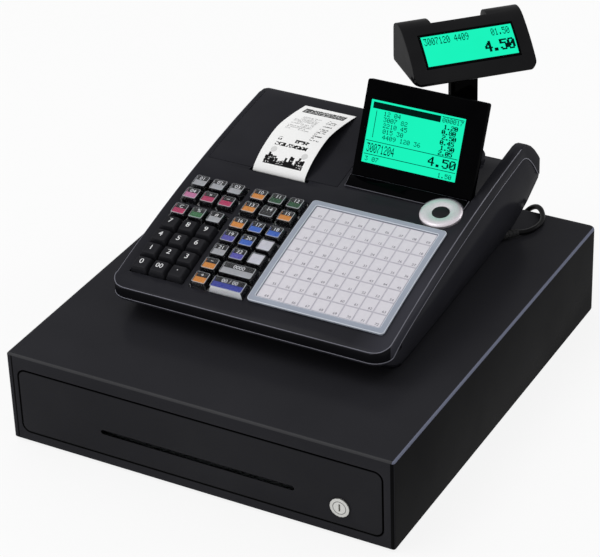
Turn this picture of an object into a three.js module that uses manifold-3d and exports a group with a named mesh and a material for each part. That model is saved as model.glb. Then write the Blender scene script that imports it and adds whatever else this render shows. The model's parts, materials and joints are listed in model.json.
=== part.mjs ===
// Electronic cash register standing on a sheet-steel cash drawer.
// Millimetres, +Z up, +X to the operator's right, +Y to the back.
// Pieces are placed from the middle of the drawer cabinet; the last lines move the group so that
// its origin is the bottom centre of the box round everything except the mains lead.
import * as THREE from 'three';
import { mergeVertices } from 'three/addons/utils/BufferGeometryUtils.js';
import Module from 'manifold-3d';

const wasm = await Module();
wasm.setup();

// Driving dimensions

const fit = 0.3;              // clearance between pieces that touch on the real product
const cut = 1;                // overrun of every cutting shape
const degree = Math.PI / 180;

// Drawer cabinet
const cabinetWidth = 410;
const cabinetDepth = 460;
const cabinetHeight = 96;
const footHeight = 3.2;
const footRadius = 8;
const footInset = 24;
const footStemRadius = 2.5;
const sheetSteel = 1.2;
const cabinetRearRadius = 7;
const cabinetFrontRadius = 2.5;
const cabinetFold = 2;        // radius of the folds along the top
const basePanLip = 14;
const openingBottom = 9.8;    // above the cabinet's underside
const openingTop = 15.2;      // below the cabinet's top
const openingSide = 11;
const panelGap = 1;
const panelCorner = 8;
const runnerWidth = 14;
const runnerInset = 30;       // from the cabinet's side to the runner's middle

// Drawer
const panelThickness = 1.5;
const panelDepth = 10;
const trayRearGap = 31.7;       // room behind the tray for the latch and the kick-out spring
const trayFold = 4;             // radius of the folds along the tray's floor
const trayLift = 1;           // tray's underside above the panel's lower edge
const trayDrop = 2;           // tray's rim below the panel's upper edge
const traySide = 2;           // tray's side inside the panel's end
const slotLength = 207;
const slotHeight = 5;
const slotCentre = 35.8;      // above the cabinet's underside
const lockInset = 42.5;         // from the panel's end to the lock's middle
const lockHeight = 30.8;      // above the cabinet's underside
const lockHoleRadius = 8.9;
const lockFaceRadius = 9.9;
const lockFaceProud = 2;
const lockBodyRadius = 8.6;
const lockBodyLength = 22;
const keywayLength = 8;
const keywayWidth = 1.6;
const keywayDepth = 6;
const ledgeHeight = 28.5;      // till's ledge above the tray's underside
const ledgeWidth = 5;

// Till insert
const tillHeight = 35;
const tillWall = 2;
const tillFloor = 2;
const tillColumns = 4;
const coinRows = 2;
const coinLength = 60;
const billLength = 190;
const coinScoopRadius = 22;
const clipLength = 75;
const clipWidth = 16;
const clipThickness = 2;
const clipBarrelRadius = 3;
const clipPinRadius = 1.4;
const clipPinLength = 3.5;
const clipEarThickness = 3;
const clipDrop = 7;           // barrel's centre below the till's rim
const clipBack = 8;           // barrel's centre in front of the rear wall
const clipTip = 5;

// Latch and kick-out spring at the back of the drawer
const latchPivotBack = 9;     // pivot in front of the cabinet's back
const latchPivotHeight = 39;
const latchPinRadius = 2;
const latchWidth = 9;
const latchThickness = 2.5;
const latchNose = 7;          // depth of the hook's nose
const latchSwing = 12 * degree;
const latchEarThickness = 2.5;
const keeperReach = 9;
const keeperWidth = 14;
const keeperHeight = 14;      // above the tray's underside
const keeperLip = 3;
const springOffset = 70;
const springRadius = 7;
const springWire = 0.9;
const springTurns = 5;
const springHeight = 30;

// Register housing
const registerWidth = 296.6;
const registerFront = 134.5;  // front lip, before the cabinet's middle
const deckRadius = 1520;      // the deck is one long arc
const deckMidHeight = 76.3;   // above the drawer's top, at the middle
const deckMidSlope = 13.22 * degree;
const deckRear = 168;
const lipRadius = 3;
const lipDepth = 11.9;
const noseReach = 222;        // back of the housing
const noseTop = 63.8;         // above the drawer's top
const noseLow = 50.8;
const shoulderSlope = 55 * degree;
const heelInset = 19;         // from the housing's back to where the lower shell's back turns in
const heelHeight = 21.8;
const bandWidth = 14;         // depth of the upper shell's skirt
const upperWall = 3;
const upperEdge = 2.5;
const upperFrontRadius = 18;
const upperRearRadius = 14;
const lowerWall = 3;
const lowerInset = 8;         // lower shell's rim below the upper shell's surface
const lowerStep = 0.5;        // lower shell's side inside the upper shell's side
const lowerLedge = 2.4;       // thickness of the bead under the front lip
const lowerFrontHalf = 141.5; // at the bottom
const lowerRearHalf = 131;
const lowerFront = 98;
const lowerRear = 178;
const lowerDraftFront = 1.158;
const lowerDraftRear = 1.2;
const lowerDraftSide = 0.5;
const lowerCorner = 12;
const creaseDepth = 50;       // below the deck; the lower shell's sides lean in from here down
const creaseTaper = 0.268;
const towerHeight = 4.3;      // foot of the pole's tower above the drawer's top

// Display recess and its hinge
const recessGap = 3.7;        // from the printer's cover to the recess
const recessSide = 11.1;      // from the recess to the housing's side
const recessFront = 71.6;
const recessFrontDepth = 10.2;
const recessSlope = 9.5 * degree;
const hingeBack = 5;          // hinge axis behind the recess's front wall
const hingeDepth = 4.8;       // hinge axis below the deck
const pinRadius = 1.5;
const pinSeat = 2;            // depth of the pin's holes in the recess's side walls
const displaySide = 0.7;      // clearance at each end of the display
const displayHeight = 98.1;   // from the hinge axis
const displayThickness = 9;
const displayEdge = 2;
const displayTilt = 24.2 * degree;
const screenWidth = 106;
const screenHeight = 67;
const screenLeft = 5.5;
const screenLow = 14.5;
const screenThickness = 1.4;

// Display trim and navigation keys
const trimThickness = 1.5;
const trimFront = 54;
const trimSlant = 2.5;
const ringX = 117.8;
const ringY = 47.3;
const ringRadius = 21;
const ringHeight = 3.4;
const wellDepth = 2.2;
const wellGap = 0.5;
const centreButtonRadius = 8.2;
const centreButtonHeight = 3;

// Printer
const coverLeft = 141.3;      // left of the middle
const coverRight = 3.5;
const coverFront = 51;
const coverAxisBack = 174;
const coverThickness = 3;
const coverBarrelRadius = 3.2;
const coverPinRadius = 1.5;
const coverPinLength = 1.8;
const seam = 0.6;
const paperWidth = 58;
const paperCentre = -59.8;
const paperThickness = 0.35;
const paperSlot = 4.1;
const paperSlotSide = 4;
const rollRadius = 27;
const rollCore = 6.5;
const rollY = 122;
const rollDepth = 34;         // roll's centre below the deck
const platenRadius = 6;
const platenY = 62;
const platenDepth = 12.2;     // below the deck
const platenShaft = 2.5;
const platenShaftLength = 3.6;
const platenEar = 2.5;
const cradleWall = 3;
const cradleGap = 0.4;
const headBlockHeight = 5.5;
const headBlockDepth = 15;
const headOverlap = 1.5;      // print head's top above the platen's lowest line
const receiptSlotShare = 0.7; // the paper's place in the slot in front of the cover
const receiptEnd = 159;       // where the paper's end lies on the cover
const receiptRise = 14.1;     // how high the paper's curl stands above the deck
const receiptShares = [[0.094, 0.54], [0.265, 0.89], [0.467, 1], [0.704, 0.66], [0.874, 0.33], [1, 0.06]];

// Keyboard
const keyPitch = 19.9;
const rowPitch = 19.2;
const groupGap = 4.4;         // extra space above the clear row
const blockGap = 26.1;        // between the two blocks' nearest columns
const firstColumn = -126.5;
const firstRow = -108.4;
const keyWidth = 18.2;
const keyLength = 17.6;
const keyHeight = 6;
const keyTaper = 4.2;
const keySkirt = 2.5;
const keyCorner = 1.6;
const keyStemRadius = 2.4;
const keyStemLength = 6.6;
const keyMargin = 1;
const matDepth = 6.5;
const matThickness = 3;
const matRim = 2;

// Touch-sheet keyboard
const sheetFrameKeyGap = 3.1;     // from the key block's window to the frame
const sheetFrameSide = 11.9;      // from the frame to the housing's side
const sheetFrameFront = 22.5;     // from the deck's front edge to the frame, along the deck
const sheetFrameRingGap = 2.4;    // from the frame to the navigation ring
const sheetFrameBorder = 6.5;
const sheetFrameHeight = 2.6;
const sheetFrameCorner = 4;
const sheetThickness = 1;

// Customer display
const poleX = 69.8;
const poleY = 198;
const poleWidth = 28;
const poleDepth = 14;
const poleCorner = 3;
const poleBottom = 49;        // above the drawer's top
const headTurn = 45 * degree;
const headAxisHeight = 180;   // above the drawer's top
const headPinRadius = 2.5;
const headPinLength = 5;
const headOffset = -1;        // the head's middle beside the pole's
const headHalf = 62;
const headCorner = 9;
const headScreenWidth = 98;
const headScreenHeight = 37;
const headScreenThickness = 1.4;
const headFaceTilt = 50.7 * degree;
const headFaceForward = 20;
const headFaceHeight = 17.4;  // face's middle above the tilt axis
const notchLeft = -31;
const notchRight = 27;
const notchDepth = 4;
const headProfile = [[-3.2, 36.4], [-19, 33.9], [-33.6, 26.4], [-29.4, -11.6], [41, -6.9], [45.5, -3.5]];
const headFaceLow = -36;      // along the face from its middle
const headFaceHigh = 35.6;
const headReach = 90;
const headSlotRoom = 2.8;
const collarStemRadius = 17.2;
const collarFlangeRadius = 19.6;
const collarFlange = 3;
const collarStem = 18;
const turretRadius = 23;
const turretHeight = 66.8;    // above the drawer's top

// Circuit board
const boardWidth = 220;
const boardLength = 120;
const boardThickness = 1.6;
const boardLift = 3.5;
const boardY = -30;
const postRadius = 3;

// Mains lead
const leadDiameter = 5.5;
const reliefRadius = 4.6;
const reliefLength = 22;
const reliefRibs = 4;
const reliefTaper = 0.8;
const reliefGroove = 0.5;
const reliefAt = [130, 157, 7.8];    // inner end, height above the drawer's top
const reliefTip = [141, 175.5, 4.6]; // a point on its axis at the outer end
const leadOnTop = [[146.5, 182.5, 3.1], [151.2, 190, 3.1], [153.6, 198.5, 3.1], [153.8, 207, 3.1],
  [152, 215, 3.4],
  [148.5, 222.5, 3.8], [143.5, 229.5, 4.3], [137, 235.5, 2.8], [129, 239.5, -2.2], [121, 241, -11.2]];
const leadDown = [[114, 10.5, 0.76], [108, 10.5, 0.61], [102, 10.5, 0.446], [95, 10.5, 0.29],
  [86, 10.5, 0.155],
  [75, 10.2, 0.056], [62, 9.4, 0.01], [46, 8.5, 0], [28, 8.2, 0], [10, 8.2, 0]];
const leadSteps = 42;
const coilTurns = 6.5;
const coilInner = 23;
const coilPitch = 6.1;
const coilX = -8;
const coilY = 281;
const coilStepsPerTurn = 24;
const coilStepShare = 0.5;    // of a turn on each side of the step to the upper layer
const tailShares = [[0.28, 0.98, 0.13], [0.7, 0.77, 0.5], [0.89, 0.37, 0.86], [0.8, -0.03, 1],
  [0.48, -0.23, 1],
  [0.36, -0.235, 1]];
const tailSteps = 12;
const plugLength = 34;
const plugWidth = 26;
const plugHeight = 14;
const plugCorner = 3;
const plugPinRadius = 2;
const plugPinLength = 19;
const plugPinSpacing = 18.6;

// Shared values

const drawerTop = footHeight + cabinetHeight;
const halfCabinet = cabinetWidth / 2;
const cabinetFrontY = -cabinetDepth / 2;
const cabinetBackY = cabinetDepth / 2;
const halfRegister = registerWidth / 2;

// Solids

function solid(geometry) {
  const bare = geometry.clone();
  bare.deleteAttribute('normal');
  bare.deleteAttribute('uv');
  const welded = mergeVertices(bare, 1e-4);
  const kept = [];
  const index = welded.index.array;
  for (let i = 0; i < index.length; i += 3) {
    const [a, b, c] = [index[i], index[i + 1], index[i + 2]];
    if (a !== b && b !== c && c !== a) kept.push(a, b, c);
  }
  return new wasm.Manifold(new wasm.Mesh({
    numProp: 3,
    vertProperties: new Float32Array(welded.attributes.position.array),
    triVerts: new Uint32Array(kept),
  }));
}

function geometryOf(body) {
  const mesh = body.getMesh();
  const geometry = new THREE.BufferGeometry();
  geometry.setAttribute('position', new THREE.BufferAttribute(mesh.vertProperties, 3));
  geometry.setIndex(new THREE.BufferAttribute(mesh.triVerts, 1));
  geometry.computeVertexNormals();
  return geometry;
}

const join = (first, ...others) => others.reduce((sum, next) => sum.add(next), first);
const cutAway = (first, ...others) => others.reduce((rest, next) => rest.subtract(next), first);

// A box from its lowest to its highest corner
function box(x0, x1, y0, y1, z0, z1) {
  const geometry = new THREE.BoxGeometry(x1 - x0, y1 - y0, z1 - z0);
  geometry.translate((x0 + x1) / 2, (y0 + y1) / 2, (z0 + z1) / 2);
  return solid(geometry);
}

// A section drawn in (x, y) and raised from z0 to z1
function raised(section, z0, z1, bevel = 0, curveSegments = 2) {
  const geometry = new THREE.ExtrudeGeometry(section, {
    depth: z1 - z0 - 2 * bevel, curveSegments,
    bevelEnabled: bevel > 0, bevelThickness: bevel, bevelSize: bevel, bevelOffset: -bevel, bevelSegments: 3,
  });
  geometry.translate(0, 0, z0 + bevel);
  return solid(geometry);
}

// A section drawn in (y, z) and drawn out along X
const alongX = new THREE.Matrix4().makeBasis(
  new THREE.Vector3(0, 1, 0), new THREE.Vector3(0, 0, 1), new THREE.Vector3(1, 0, 0));
function acrossX(section, x0, x1, bevel = 0, curveSegments = 2) {
  return raised(section, x0, x1, bevel, curveSegments).transform(alongX.elements);
}

// A section drawn in (x, z) and drawn out along Y
const alongY = new THREE.Matrix4().makeBasis(
  new THREE.Vector3(1, 0, 0), new THREE.Vector3(0, 0, 1), new THREE.Vector3(0, -1, 0));
function acrossY(section, y0, y1, bevel = 0, curveSegments = 2) {
  return raised(section, -y1, -y0, bevel, curveSegments).transform(alongY.elements);
}

function drawn(points) {
  return new THREE.Shape(points.map(([a, b]) => new THREE.Vector2(a, b)));
}

// A rectangle with its own corner radius along the low and the high side
function roundedSection(x0, x1, y0, y1, low, high = low) {
  const shape = new THREE.Shape();
  shape.moveTo(x0 + low, y0);
  shape.lineTo(x1 - low, y0);
  shape.absarc(x1 - low, y0 + low, low, -Math.PI / 2, 0, false);
  shape.lineTo(x1, y1 - high);
  shape.absarc(x1 - high, y1 - high, high, 0, Math.PI / 2, false);
  shape.lineTo(x0 + high, y1);
  shape.absarc(x0 + high, y1 - high, high, Math.PI / 2, Math.PI, false);
  shape.lineTo(x0, y0 + low);
  shape.absarc(x0 + low, y0 + low, low, Math.PI, 1.5 * Math.PI, false);
  return shape;
}

function circle(x, y, radius) {
  const shape = new THREE.Shape();
  shape.absarc(x, y, radius, 0, 2 * Math.PI, false);
  return shape;
}

// A rod along X, Y or Z
function rodX(y, z, radius, x0, x1, curveSegments = 8) {
  return raised(circle(y, z, radius), x0, x1, 0, curveSegments).transform(alongX.elements);
}
function rodY(x, z, radius, y0, y1, curveSegments = 8) {
  return raised(circle(x, z, radius), -y1, -y0, 0, curveSegments).transform(alongY.elements);
}
const rodZ = (x, y, radius, z0, z1, curveSegments = 8) => raised(circle(x, y, radius), z0, z1, 0,
  curveSegments);

// A turned piece: the profile gives [radius, height] from the bottom up, starting and ending on the axis
function turned(profile, segments) {
  const points = profile.map(([radius, height]) => new THREE.Vector2(radius, height));
  const geometry = new THREE.LatheGeometry(points, segments);
  geometry.rotateX(Math.PI / 2);
  return solid(geometry);
}

// A body through loops with the same number of points, each seen counterclockwise from the last one
function loft(...loops) {
  const count = loops[0].length;
  const last = (loops.length - 1) * count;
  const geometry = new THREE.BufferGeometry();
  geometry.setAttribute('position', new THREE.Float32BufferAttribute(loops.flat(2), 3));
  const index = [];
  for (let ring = 0; ring < last; ring += count) {
    for (let i = 0; i < count; i += 1) {
      const next = (i + 1) % count;
      index.push(ring + i, ring + next, ring + count + next, ring + i, ring + count + next, ring + count + i);
    }
  }
  for (let i = 1; i < count - 1; i += 1) {
    index.push(0, i + 1, i, last, last + i, last + i + 1);
  }
  geometry.setIndex(index);
  return solid(geometry);
}

// A loop round a rounded rectangle or trapezium, at one height
function loop(frontHalf, rearHalf, y0, y1, radius, z, steps = 4) {
  const corners = [[-frontHalf, y0, Math.PI], [frontHalf, y0, 1.5 * Math.PI], [rearHalf, y1, 0],
    [-rearHalf, y1, Math.PI / 2]];
  const points = [];
  for (const [x, y, start] of corners) {
    const cx = x - Math.sign(x) * radius;
    const cy = y + (y === y0 ? radius : -radius);
    for (let i = 0; i <= steps; i += 1) {
      const angle = start + (i / steps) * Math.PI / 2;
      points.push([cx + radius * Math.cos(angle), cy + radius * Math.sin(angle), z]);
    }
  }
  return points;
}

// Nodes

const group = new THREE.Group();

const finishes = {
  drawerSteel: { color: 0x2b2b2c, roughness: 0.5, metalness: 0.25 },
  zincSteel: { color: 0x8d9196, roughness: 0.4, metalness: 0.8 },
  tillPlastic: { color: 0x1f2022, roughness: 0.6, metalness: 0 },
  clipPlastic: { color: 0x3a3c40, roughness: 0.5, metalness: 0 },
  nickel: { color: 0xb9bcc0, roughness: 0.25, metalness: 0.9 },
  rubber: { color: 0x151516, roughness: 0.85, metalness: 0 },
  housing: { color: 0x2c2b2f, roughness: 0.45, metalness: 0 },
  innerPlastic: { color: 0x3c3d42, roughness: 0.6, metalness: 0 },
  glossBlack: { color: 0x0c0c0d, roughness: 0.12, metalness: 0 },
  screen: { color: 0x14d8ad, roughness: 0.25, metalness: 0 },
  paper: { color: 0xf4f4f2, roughness: 0.8, metalness: 0 },
  platenRubber: { color: 0x202124, roughness: 0.7, metalness: 0 },
  numberKey: { color: 0x26272b, roughness: 0.5, metalness: 0 },
  clearRed: { color: 0xa02040, roughness: 0.25, metalness: 0 },
  clearGreen: { color: 0x1c6a3c, roughness: 0.25, metalness: 0 },
  clearGrey: { color: 0xa9acb0, roughness: 0.25, metalness: 0 },
  clearOrange: { color: 0xc97a28, roughness: 0.25, metalness: 0 },
  clearBlue: { color: 0x2b3f8c, roughness: 0.25, metalness: 0 },
  frameGrey: { color: 0xaab2bd, roughness: 0.4, metalness: 0 },
  sheetWhite: { color: 0xcfccd2, roughness: 0.4, metalness: 0 },
  ringMetal: { color: 0xc9cacc, roughness: 0.3, metalness: 0.7 },
  boardGreen: { color: 0x1f5a36, roughness: 0.6, metalness: 0 },
  springSteel: { color: 0xa8a9ab, roughness: 0.3, metalness: 0.9 },
  cable: { color: 0x17171a, roughness: 0.6, metalness: 0 },
};
const materials = {};
for (const [name, settings] of Object.entries(finishes)) {
  materials[name] = new THREE.MeshStandardMaterial(settings);
}

function node(name, body, finish, parent = group) {
  const geometry = body.isBufferGeometry ? body : geometryOf(body);
  const mesh = new THREE.Mesh(geometry, materials[finish]);
  mesh.name = name;
  parent.add(mesh);
  return mesh;
}

// Cabinet: a folded cover with a front frame, closed from below by a pan with the drawer's runners

const openingLeft = -halfCabinet + openingSide;
const openingLow = footHeight + openingBottom;
const openingHigh = drawerTop - openingTop;

function makeCabinetShell() {
  const plan = roundedSection(-halfCabinet, halfCabinet, cabinetFrontY, cabinetBackY, cabinetFrontRadius,
    cabinetRearRadius);
  const outside = raised(plan, footHeight - 2 * cabinetFold, drawerTop, cabinetFold);
  const belowFloor = box(-halfCabinet - cut, halfCabinet + cut, cabinetFrontY - cut, cabinetBackY + cut,
    footHeight - 3 * cabinetFold, footHeight);
  const inside = raised(roundedSection(-halfCabinet + sheetSteel, halfCabinet - sheetSteel,
    cabinetFrontY + sheetSteel,
    cabinetBackY - sheetSteel, cabinetFrontRadius - sheetSteel, cabinetRearRadius - sheetSteel),
    footHeight - cut, drawerTop - sheetSteel);
  const opening = acrossY(roundedSection(openingLeft, -openingLeft, openingLow, openingHigh,
    panelCorner + panelGap),
    cabinetFrontY - cut, cabinetFrontY + sheetSteel + cut);
  return cutAway(outside, belowFloor, inside, opening);
}

const panelHalf = -openingLeft - panelGap;
const panelLow = openingLow + panelGap;
const panelHigh = openingHigh - panelGap;
const trayHalf = panelHalf - traySide;
const lockOffset = panelHalf - lockInset;
const trayLow = panelLow + trayLift;
const trayHigh = panelHigh - trayDrop;
const trayFrontY = cabinetFrontY + panelDepth + fit;
const trayBackY = cabinetBackY - trayRearGap;
const panHalf = halfCabinet - sheetSteel - fit;
const panFrontY = cabinetFrontY + sheetSteel + fit;
const panBackY = cabinetBackY - sheetSteel - fit;
const panTop = footHeight + sheetSteel;
const footPlaces = [
  ['front_left', -1, -1], ['front_right', 1, -1], ['rear_left', -1, 1], ['rear_right', 1, 1],
].map(([name, x, y]) => ({ name, x: x * (halfCabinet - footInset), y: y * (cabinetDepth / 2 - footInset) }));
const latchPivotY = cabinetBackY - latchPivotBack;
const latchPivotZ = footHeight + latchPivotHeight;

function makeCabinetBase() {
  const corner = cabinetRearRadius - sheetSteel;
  let pan = raised(roundedSection(-panHalf, panHalf, panFrontY, panBackY, sheetSteel, corner), footHeight,
    panTop);
  for (const side of [-1, 1]) {
    const lipOut = side * panHalf;
    const lipIn = side * (panHalf - sheetSteel);
    pan = pan.add(box(Math.min(lipOut, lipIn), Math.max(lipOut, lipIn), panFrontY + corner, panBackY - corner,
      footHeight, panTop + basePanLip));
    const runnerX = side * (halfCabinet - runnerInset);
    const runner = cutAway(
      box(runnerX - runnerWidth / 2, runnerX + runnerWidth / 2, trayFrontY, trayBackY,
        panTop - sheetSteel / 2,
        trayLow - fit),
      box(runnerX - runnerWidth / 2 + sheetSteel, runnerX + runnerWidth / 2 - sheetSteel, trayFrontY - cut,
        trayBackY + cut, panTop, trayLow - fit - sheetSteel));
    pan = pan.add(runner);
    const ear = side * (latchWidth / 2 + fit + latchEarThickness / 2);
    pan = pan.add(box(ear - latchEarThickness / 2, ear + latchEarThickness / 2, trayBackY + keeperReach + fit,
      panBackY, panTop - sheetSteel / 2, latchPivotZ + 2 * latchPinRadius));
  }
  const holes = footPlaces.map(({ x, y }) => rodZ(x, y, footStemRadius + fit, footHeight - cut,
    panTop + cut, 4));
  const pivot = rodX(latchPivotY, latchPivotZ, latchPinRadius + fit, -latchWidth, latchWidth, 4);
  return cutAway(pan, ...holes, pivot);
}

node('cabinet_shell', makeCabinetShell(), 'drawerSteel');
node('cabinet_base', makeCabinetBase(), 'zincSteel');
for (const { name, x, y } of footPlaces) {
  const foot = turned([[0, 0], [footRadius * 0.85, 0], [footRadius, footHeight / 3],
    [footRadius, footHeight - fit],
    [footStemRadius, footHeight - fit], [footStemRadius, panTop + fit], [0, panTop + fit]], 12);
  node(`foot_${name}`, foot, 'rubber').position.set(x, y, 0);
}

// Drawer: a folded tray behind a pan-shaped front with a slot for cheques and a cam lock

const slotZ = footHeight + slotCentre;
const lockZ = footHeight + lockHeight;

function makeDrawerFront() {
  const outside = acrossY(roundedSection(-panelHalf, panelHalf, panelLow, panelHigh, panelCorner),
    cabinetFrontY, cabinetFrontY + panelDepth);
  const inside = acrossY(roundedSection(-panelHalf + panelThickness, panelHalf - panelThickness,
    panelLow + panelThickness, panelHigh - panelThickness, panelCorner - panelThickness),
    cabinetFrontY + panelThickness, cabinetFrontY + panelDepth + cut);
  const slot = acrossY(roundedSection(-slotLength / 2, slotLength / 2, slotZ - slotHeight / 2,
    slotZ + slotHeight / 2,
    slotHeight / 2), cabinetFrontY - cut, cabinetFrontY + panelThickness + cut);
  const lockHole = rodY(lockOffset, lockZ, lockHoleRadius, cabinetFrontY - cut,
    cabinetFrontY + panelThickness + cut, 6);
  return cutAway(outside, inside, slot, lockHole);
}

const ledgeTop = trayLow + ledgeHeight;

function makeDrawerTray() {
  const folds = (insetBy, top) => roundedSection(-trayHalf + insetBy, trayHalf - insetBy, trayLow + insetBy,
    top,
    trayFold - insetBy, 0);
  const outside = acrossY(folds(0, trayHigh), trayFrontY, trayBackY);
  const inside = acrossY(folds(sheetSteel, trayHigh + cut), trayFrontY + sheetSteel, trayBackY - sheetSteel);
  const slot = box(-slotLength / 2, slotLength / 2, trayFrontY - cut, trayFrontY + sheetSteel + cut,
    slotZ - slotHeight / 2, slotZ + slotHeight / 2);
  const lockHole = rodY(lockOffset, lockZ, lockHoleRadius, trayFrontY - cut, trayFrontY + sheetSteel + cut,
    6);
  let tray = cutAway(outside, inside, slot, lockHole);
  for (const side of [-1, 1]) {
    const wall = side * (trayHalf - sheetSteel / 2);
    const inner = side * (trayHalf - sheetSteel - ledgeWidth);
    tray = tray.add(box(Math.min(wall, inner), Math.max(wall, inner), trayFrontY + sheetSteel / 2,
      trayBackY - sheetSteel / 2, ledgeTop - sheetSteel, ledgeTop));
  }
  const keeperZ = trayLow + keeperHeight;
  const tab = box(-keeperWidth / 2, keeperWidth / 2, trayBackY - sheetSteel / 2, trayBackY + keeperReach,
    keeperZ - sheetSteel, keeperZ);
  const lip = box(-keeperWidth / 2, keeperWidth / 2, trayBackY + keeperReach - sheetSteel,
    trayBackY + keeperReach,
    keeperZ - sheetSteel, keeperZ + keeperLip);
  return join(tray, tab, lip);
}

function makeLock() {
  const face = cabinetFrontY - lockFaceProud;
  const barrel = join(
    rodY(lockOffset, lockZ, lockFaceRadius, face, cabinetFrontY - fit),
    rodY(lockOffset, lockZ, lockBodyRadius, cabinetFrontY - lockFaceProud / 2,
      cabinetFrontY + lockBodyLength, 6));
  const keyway = box(lockOffset - keywayWidth / 2, lockOffset + keywayWidth / 2, face - cut,
    face + keywayDepth,
    lockZ - keywayLength / 2, lockZ + keywayLength / 2);
  return cutAway(barrel, keyway);
}

node('drawer_front', makeDrawerFront(), 'drawerSteel');
node('drawer_tray', makeDrawerTray(), 'zincSteel');
node('lock_cylinder', makeLock(), 'nickel');

// Till insert: scooped coin cups in front, note bays behind, each note bay with a hinged clip

const tillHalf = trayHalf - sheetSteel - fit;
const tillLow = ledgeTop + fit;
const tillHigh = tillLow + tillHeight;
const tillFrontY = trayFrontY + sheetSteel + fit;
const tillLength = tillWall + coinRows * (coinLength + tillWall) + billLength + tillWall;
const tillBackY = tillFrontY + tillLength;
const bayWidth = (2 * tillHalf - (tillColumns + 1) * tillWall) / tillColumns;
const bayX = (column) => -tillHalf + tillWall + column * (bayWidth + tillWall);
const billFrontY = tillFrontY + tillWall + coinRows * (coinLength + tillWall);
const clipY = tillBackY - tillWall - clipBack;
const clipZ = tillHigh - clipDrop;
const clipEarX = clipWidth / 2 + fit + clipEarThickness / 2;

function makeTillInsert() {
  let till = box(-tillHalf, tillHalf, tillFrontY, tillBackY, tillLow, tillHigh);
  for (let column = 0; column < tillColumns; column += 1) {
    const x0 = bayX(column);
    for (let row = 0; row < coinRows; row += 1) {
      const y0 = tillFrontY + tillWall + row * (coinLength + tillWall);
      const scoop = roundedSection(y0, y0 + coinLength, tillLow + tillFloor, tillHigh + coinScoopRadius,
        coinScoopRadius, cut);
      till = till.subtract(acrossX(scoop, x0, x0 + bayWidth));
    }
    till = till.subtract(box(x0, x0 + bayWidth, billFrontY, billFrontY + billLength, tillLow + tillFloor,
      tillHigh + cut));
    const middle = x0 + bayWidth / 2;
    for (const side of [-1, 1]) {
      const ear = middle + side * clipEarX;
      till = till.add(box(ear - clipEarThickness / 2, ear + clipEarThickness / 2,
        clipY - 2 * clipBarrelRadius,
        tillBackY - tillWall / 2, clipZ - 2 * clipBarrelRadius, tillHigh));
    }
    till = till.subtract(rodX(clipY, clipZ, clipPinRadius + fit, middle - clipEarX - clipEarThickness,
      middle + clipEarX + clipEarThickness, 4));
  }
  return till;
}

function makeBillClip() {
  const arm = new THREE.Shape();
  arm.moveTo(clipBarrelRadius / 2, clipThickness / 2);
  arm.lineTo(-clipLength + 2 * clipTip, clipThickness / 2);
  arm.lineTo(-clipLength + clipTip, -clipTip + clipThickness);
  arm.lineTo(-clipLength, -clipTip + 2 * clipThickness);
  arm.lineTo(-clipLength, -clipTip + clipThickness);
  arm.lineTo(-clipLength + clipTip, -clipTip);
  arm.lineTo(-clipLength + 2 * clipTip + clipThickness / 2, -clipThickness / 2);
  arm.lineTo(clipBarrelRadius / 2, -clipThickness / 2);
  const half = clipWidth / 2;
  return join(acrossX(arm, -half, half), rodX(0, 0, clipBarrelRadius, -half, half, 5),
    rodX(0, 0, clipPinRadius, -half - clipPinLength + fit, half + clipPinLength - fit, 3));
}

node('till_insert', makeTillInsert(), 'tillPlastic');
for (let column = 0; column < tillColumns; column += 1) {
  node(`bill_clip_${column + 1}`, makeBillClip(), 'clipPlastic').position.set(bayX(column) + bayWidth / 2,
    clipY, clipZ);
}

// Latch and kick-out spring: the hook is drawn in its released place, above the drawer's keeper

const keeperTop = trayLow + keeperHeight;

// The hook is drawn with its nose behind the keeper's lip; the node turns it up to its released rest
function makeLatchHook() {
  const noseBack = trayBackY + keeperReach - sheetSteel - fit - latchPivotY;
  const noseFront = noseBack - latchThickness;
  const noseLow = keeperTop + fit - latchPivotZ;
  const armLow = noseLow + latchNose;
  const hub = latchPinRadius * 2;
  const outline = drawn([[noseFront, noseLow + latchThickness], [noseBack, noseLow], [noseBack, armLow],
    [-hub, -hub], [hub, -hub], [hub, hub], [-hub, hub], [noseFront, armLow + latchThickness]]);
  const reach = latchWidth / 2 + latchEarThickness;
  return join(acrossX(outline, -latchWidth / 2, latchWidth / 2),
    rodX(0, 0, latchPinRadius, -reach, reach, 4));
}

class SpringPath extends THREE.Curve {
  getPoint(t) {
    const angle = t * springTurns * 2 * Math.PI;
    const length = cabinetBackY - sheetSteel - trayBackY - 2 * fit - 2 * springWire;
    return new THREE.Vector3(springRadius * Math.cos(angle), t * length, springRadius * Math.sin(angle));
  }
}

function tube(path, radius, steps, sides) {
  return solid(new THREE.ExtrudeGeometry(circle(0, 0, radius), {
    steps, curveSegments: sides / 2, bevelEnabled: false, extrudePath: path,
  }));
}

const latchHook = node('latch_hook', makeLatchHook(), 'zincSteel');
latchHook.position.set(0, latchPivotY, latchPivotZ);
latchHook.rotation.x = -latchSwing;
const kickSpring = node('kick_spring', tube(new SpringPath(), springWire, springTurns * 10, 6),
  'springSteel');
kickSpring.position.set(springOffset, trayBackY + fit + springWire, footHeight + springHeight);

// Register housing: in side view a long arc, a rounded shoulder and a nose that leans in below it

const deckCentreY = deckRadius * Math.sin(deckMidSlope);
const deckCentreZ = drawerTop + deckMidHeight - deckRadius * Math.cos(deckMidSlope);
const deckAngle = (y, lift = 0) => Math.asin((deckCentreY - y) / (deckRadius + lift));
const deckZ = (y, lift = 0) => deckCentreZ + (deckRadius + lift) * Math.cos(deckAngle(y, lift));
const deckS = (y, lift = 0) => (deckMidSlope - deckAngle(y, lift)) * deckRadius;

// A point of the deck in side view, from its arc length and its height above the surface
function deckPoint(s, lift = 0) {
  const angle = deckMidSlope - s / deckRadius;
  return [deckCentreY - (deckRadius + lift) * Math.sin(angle),
    deckCentreZ + (deckRadius + lift) * Math.cos(angle)];
}

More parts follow.
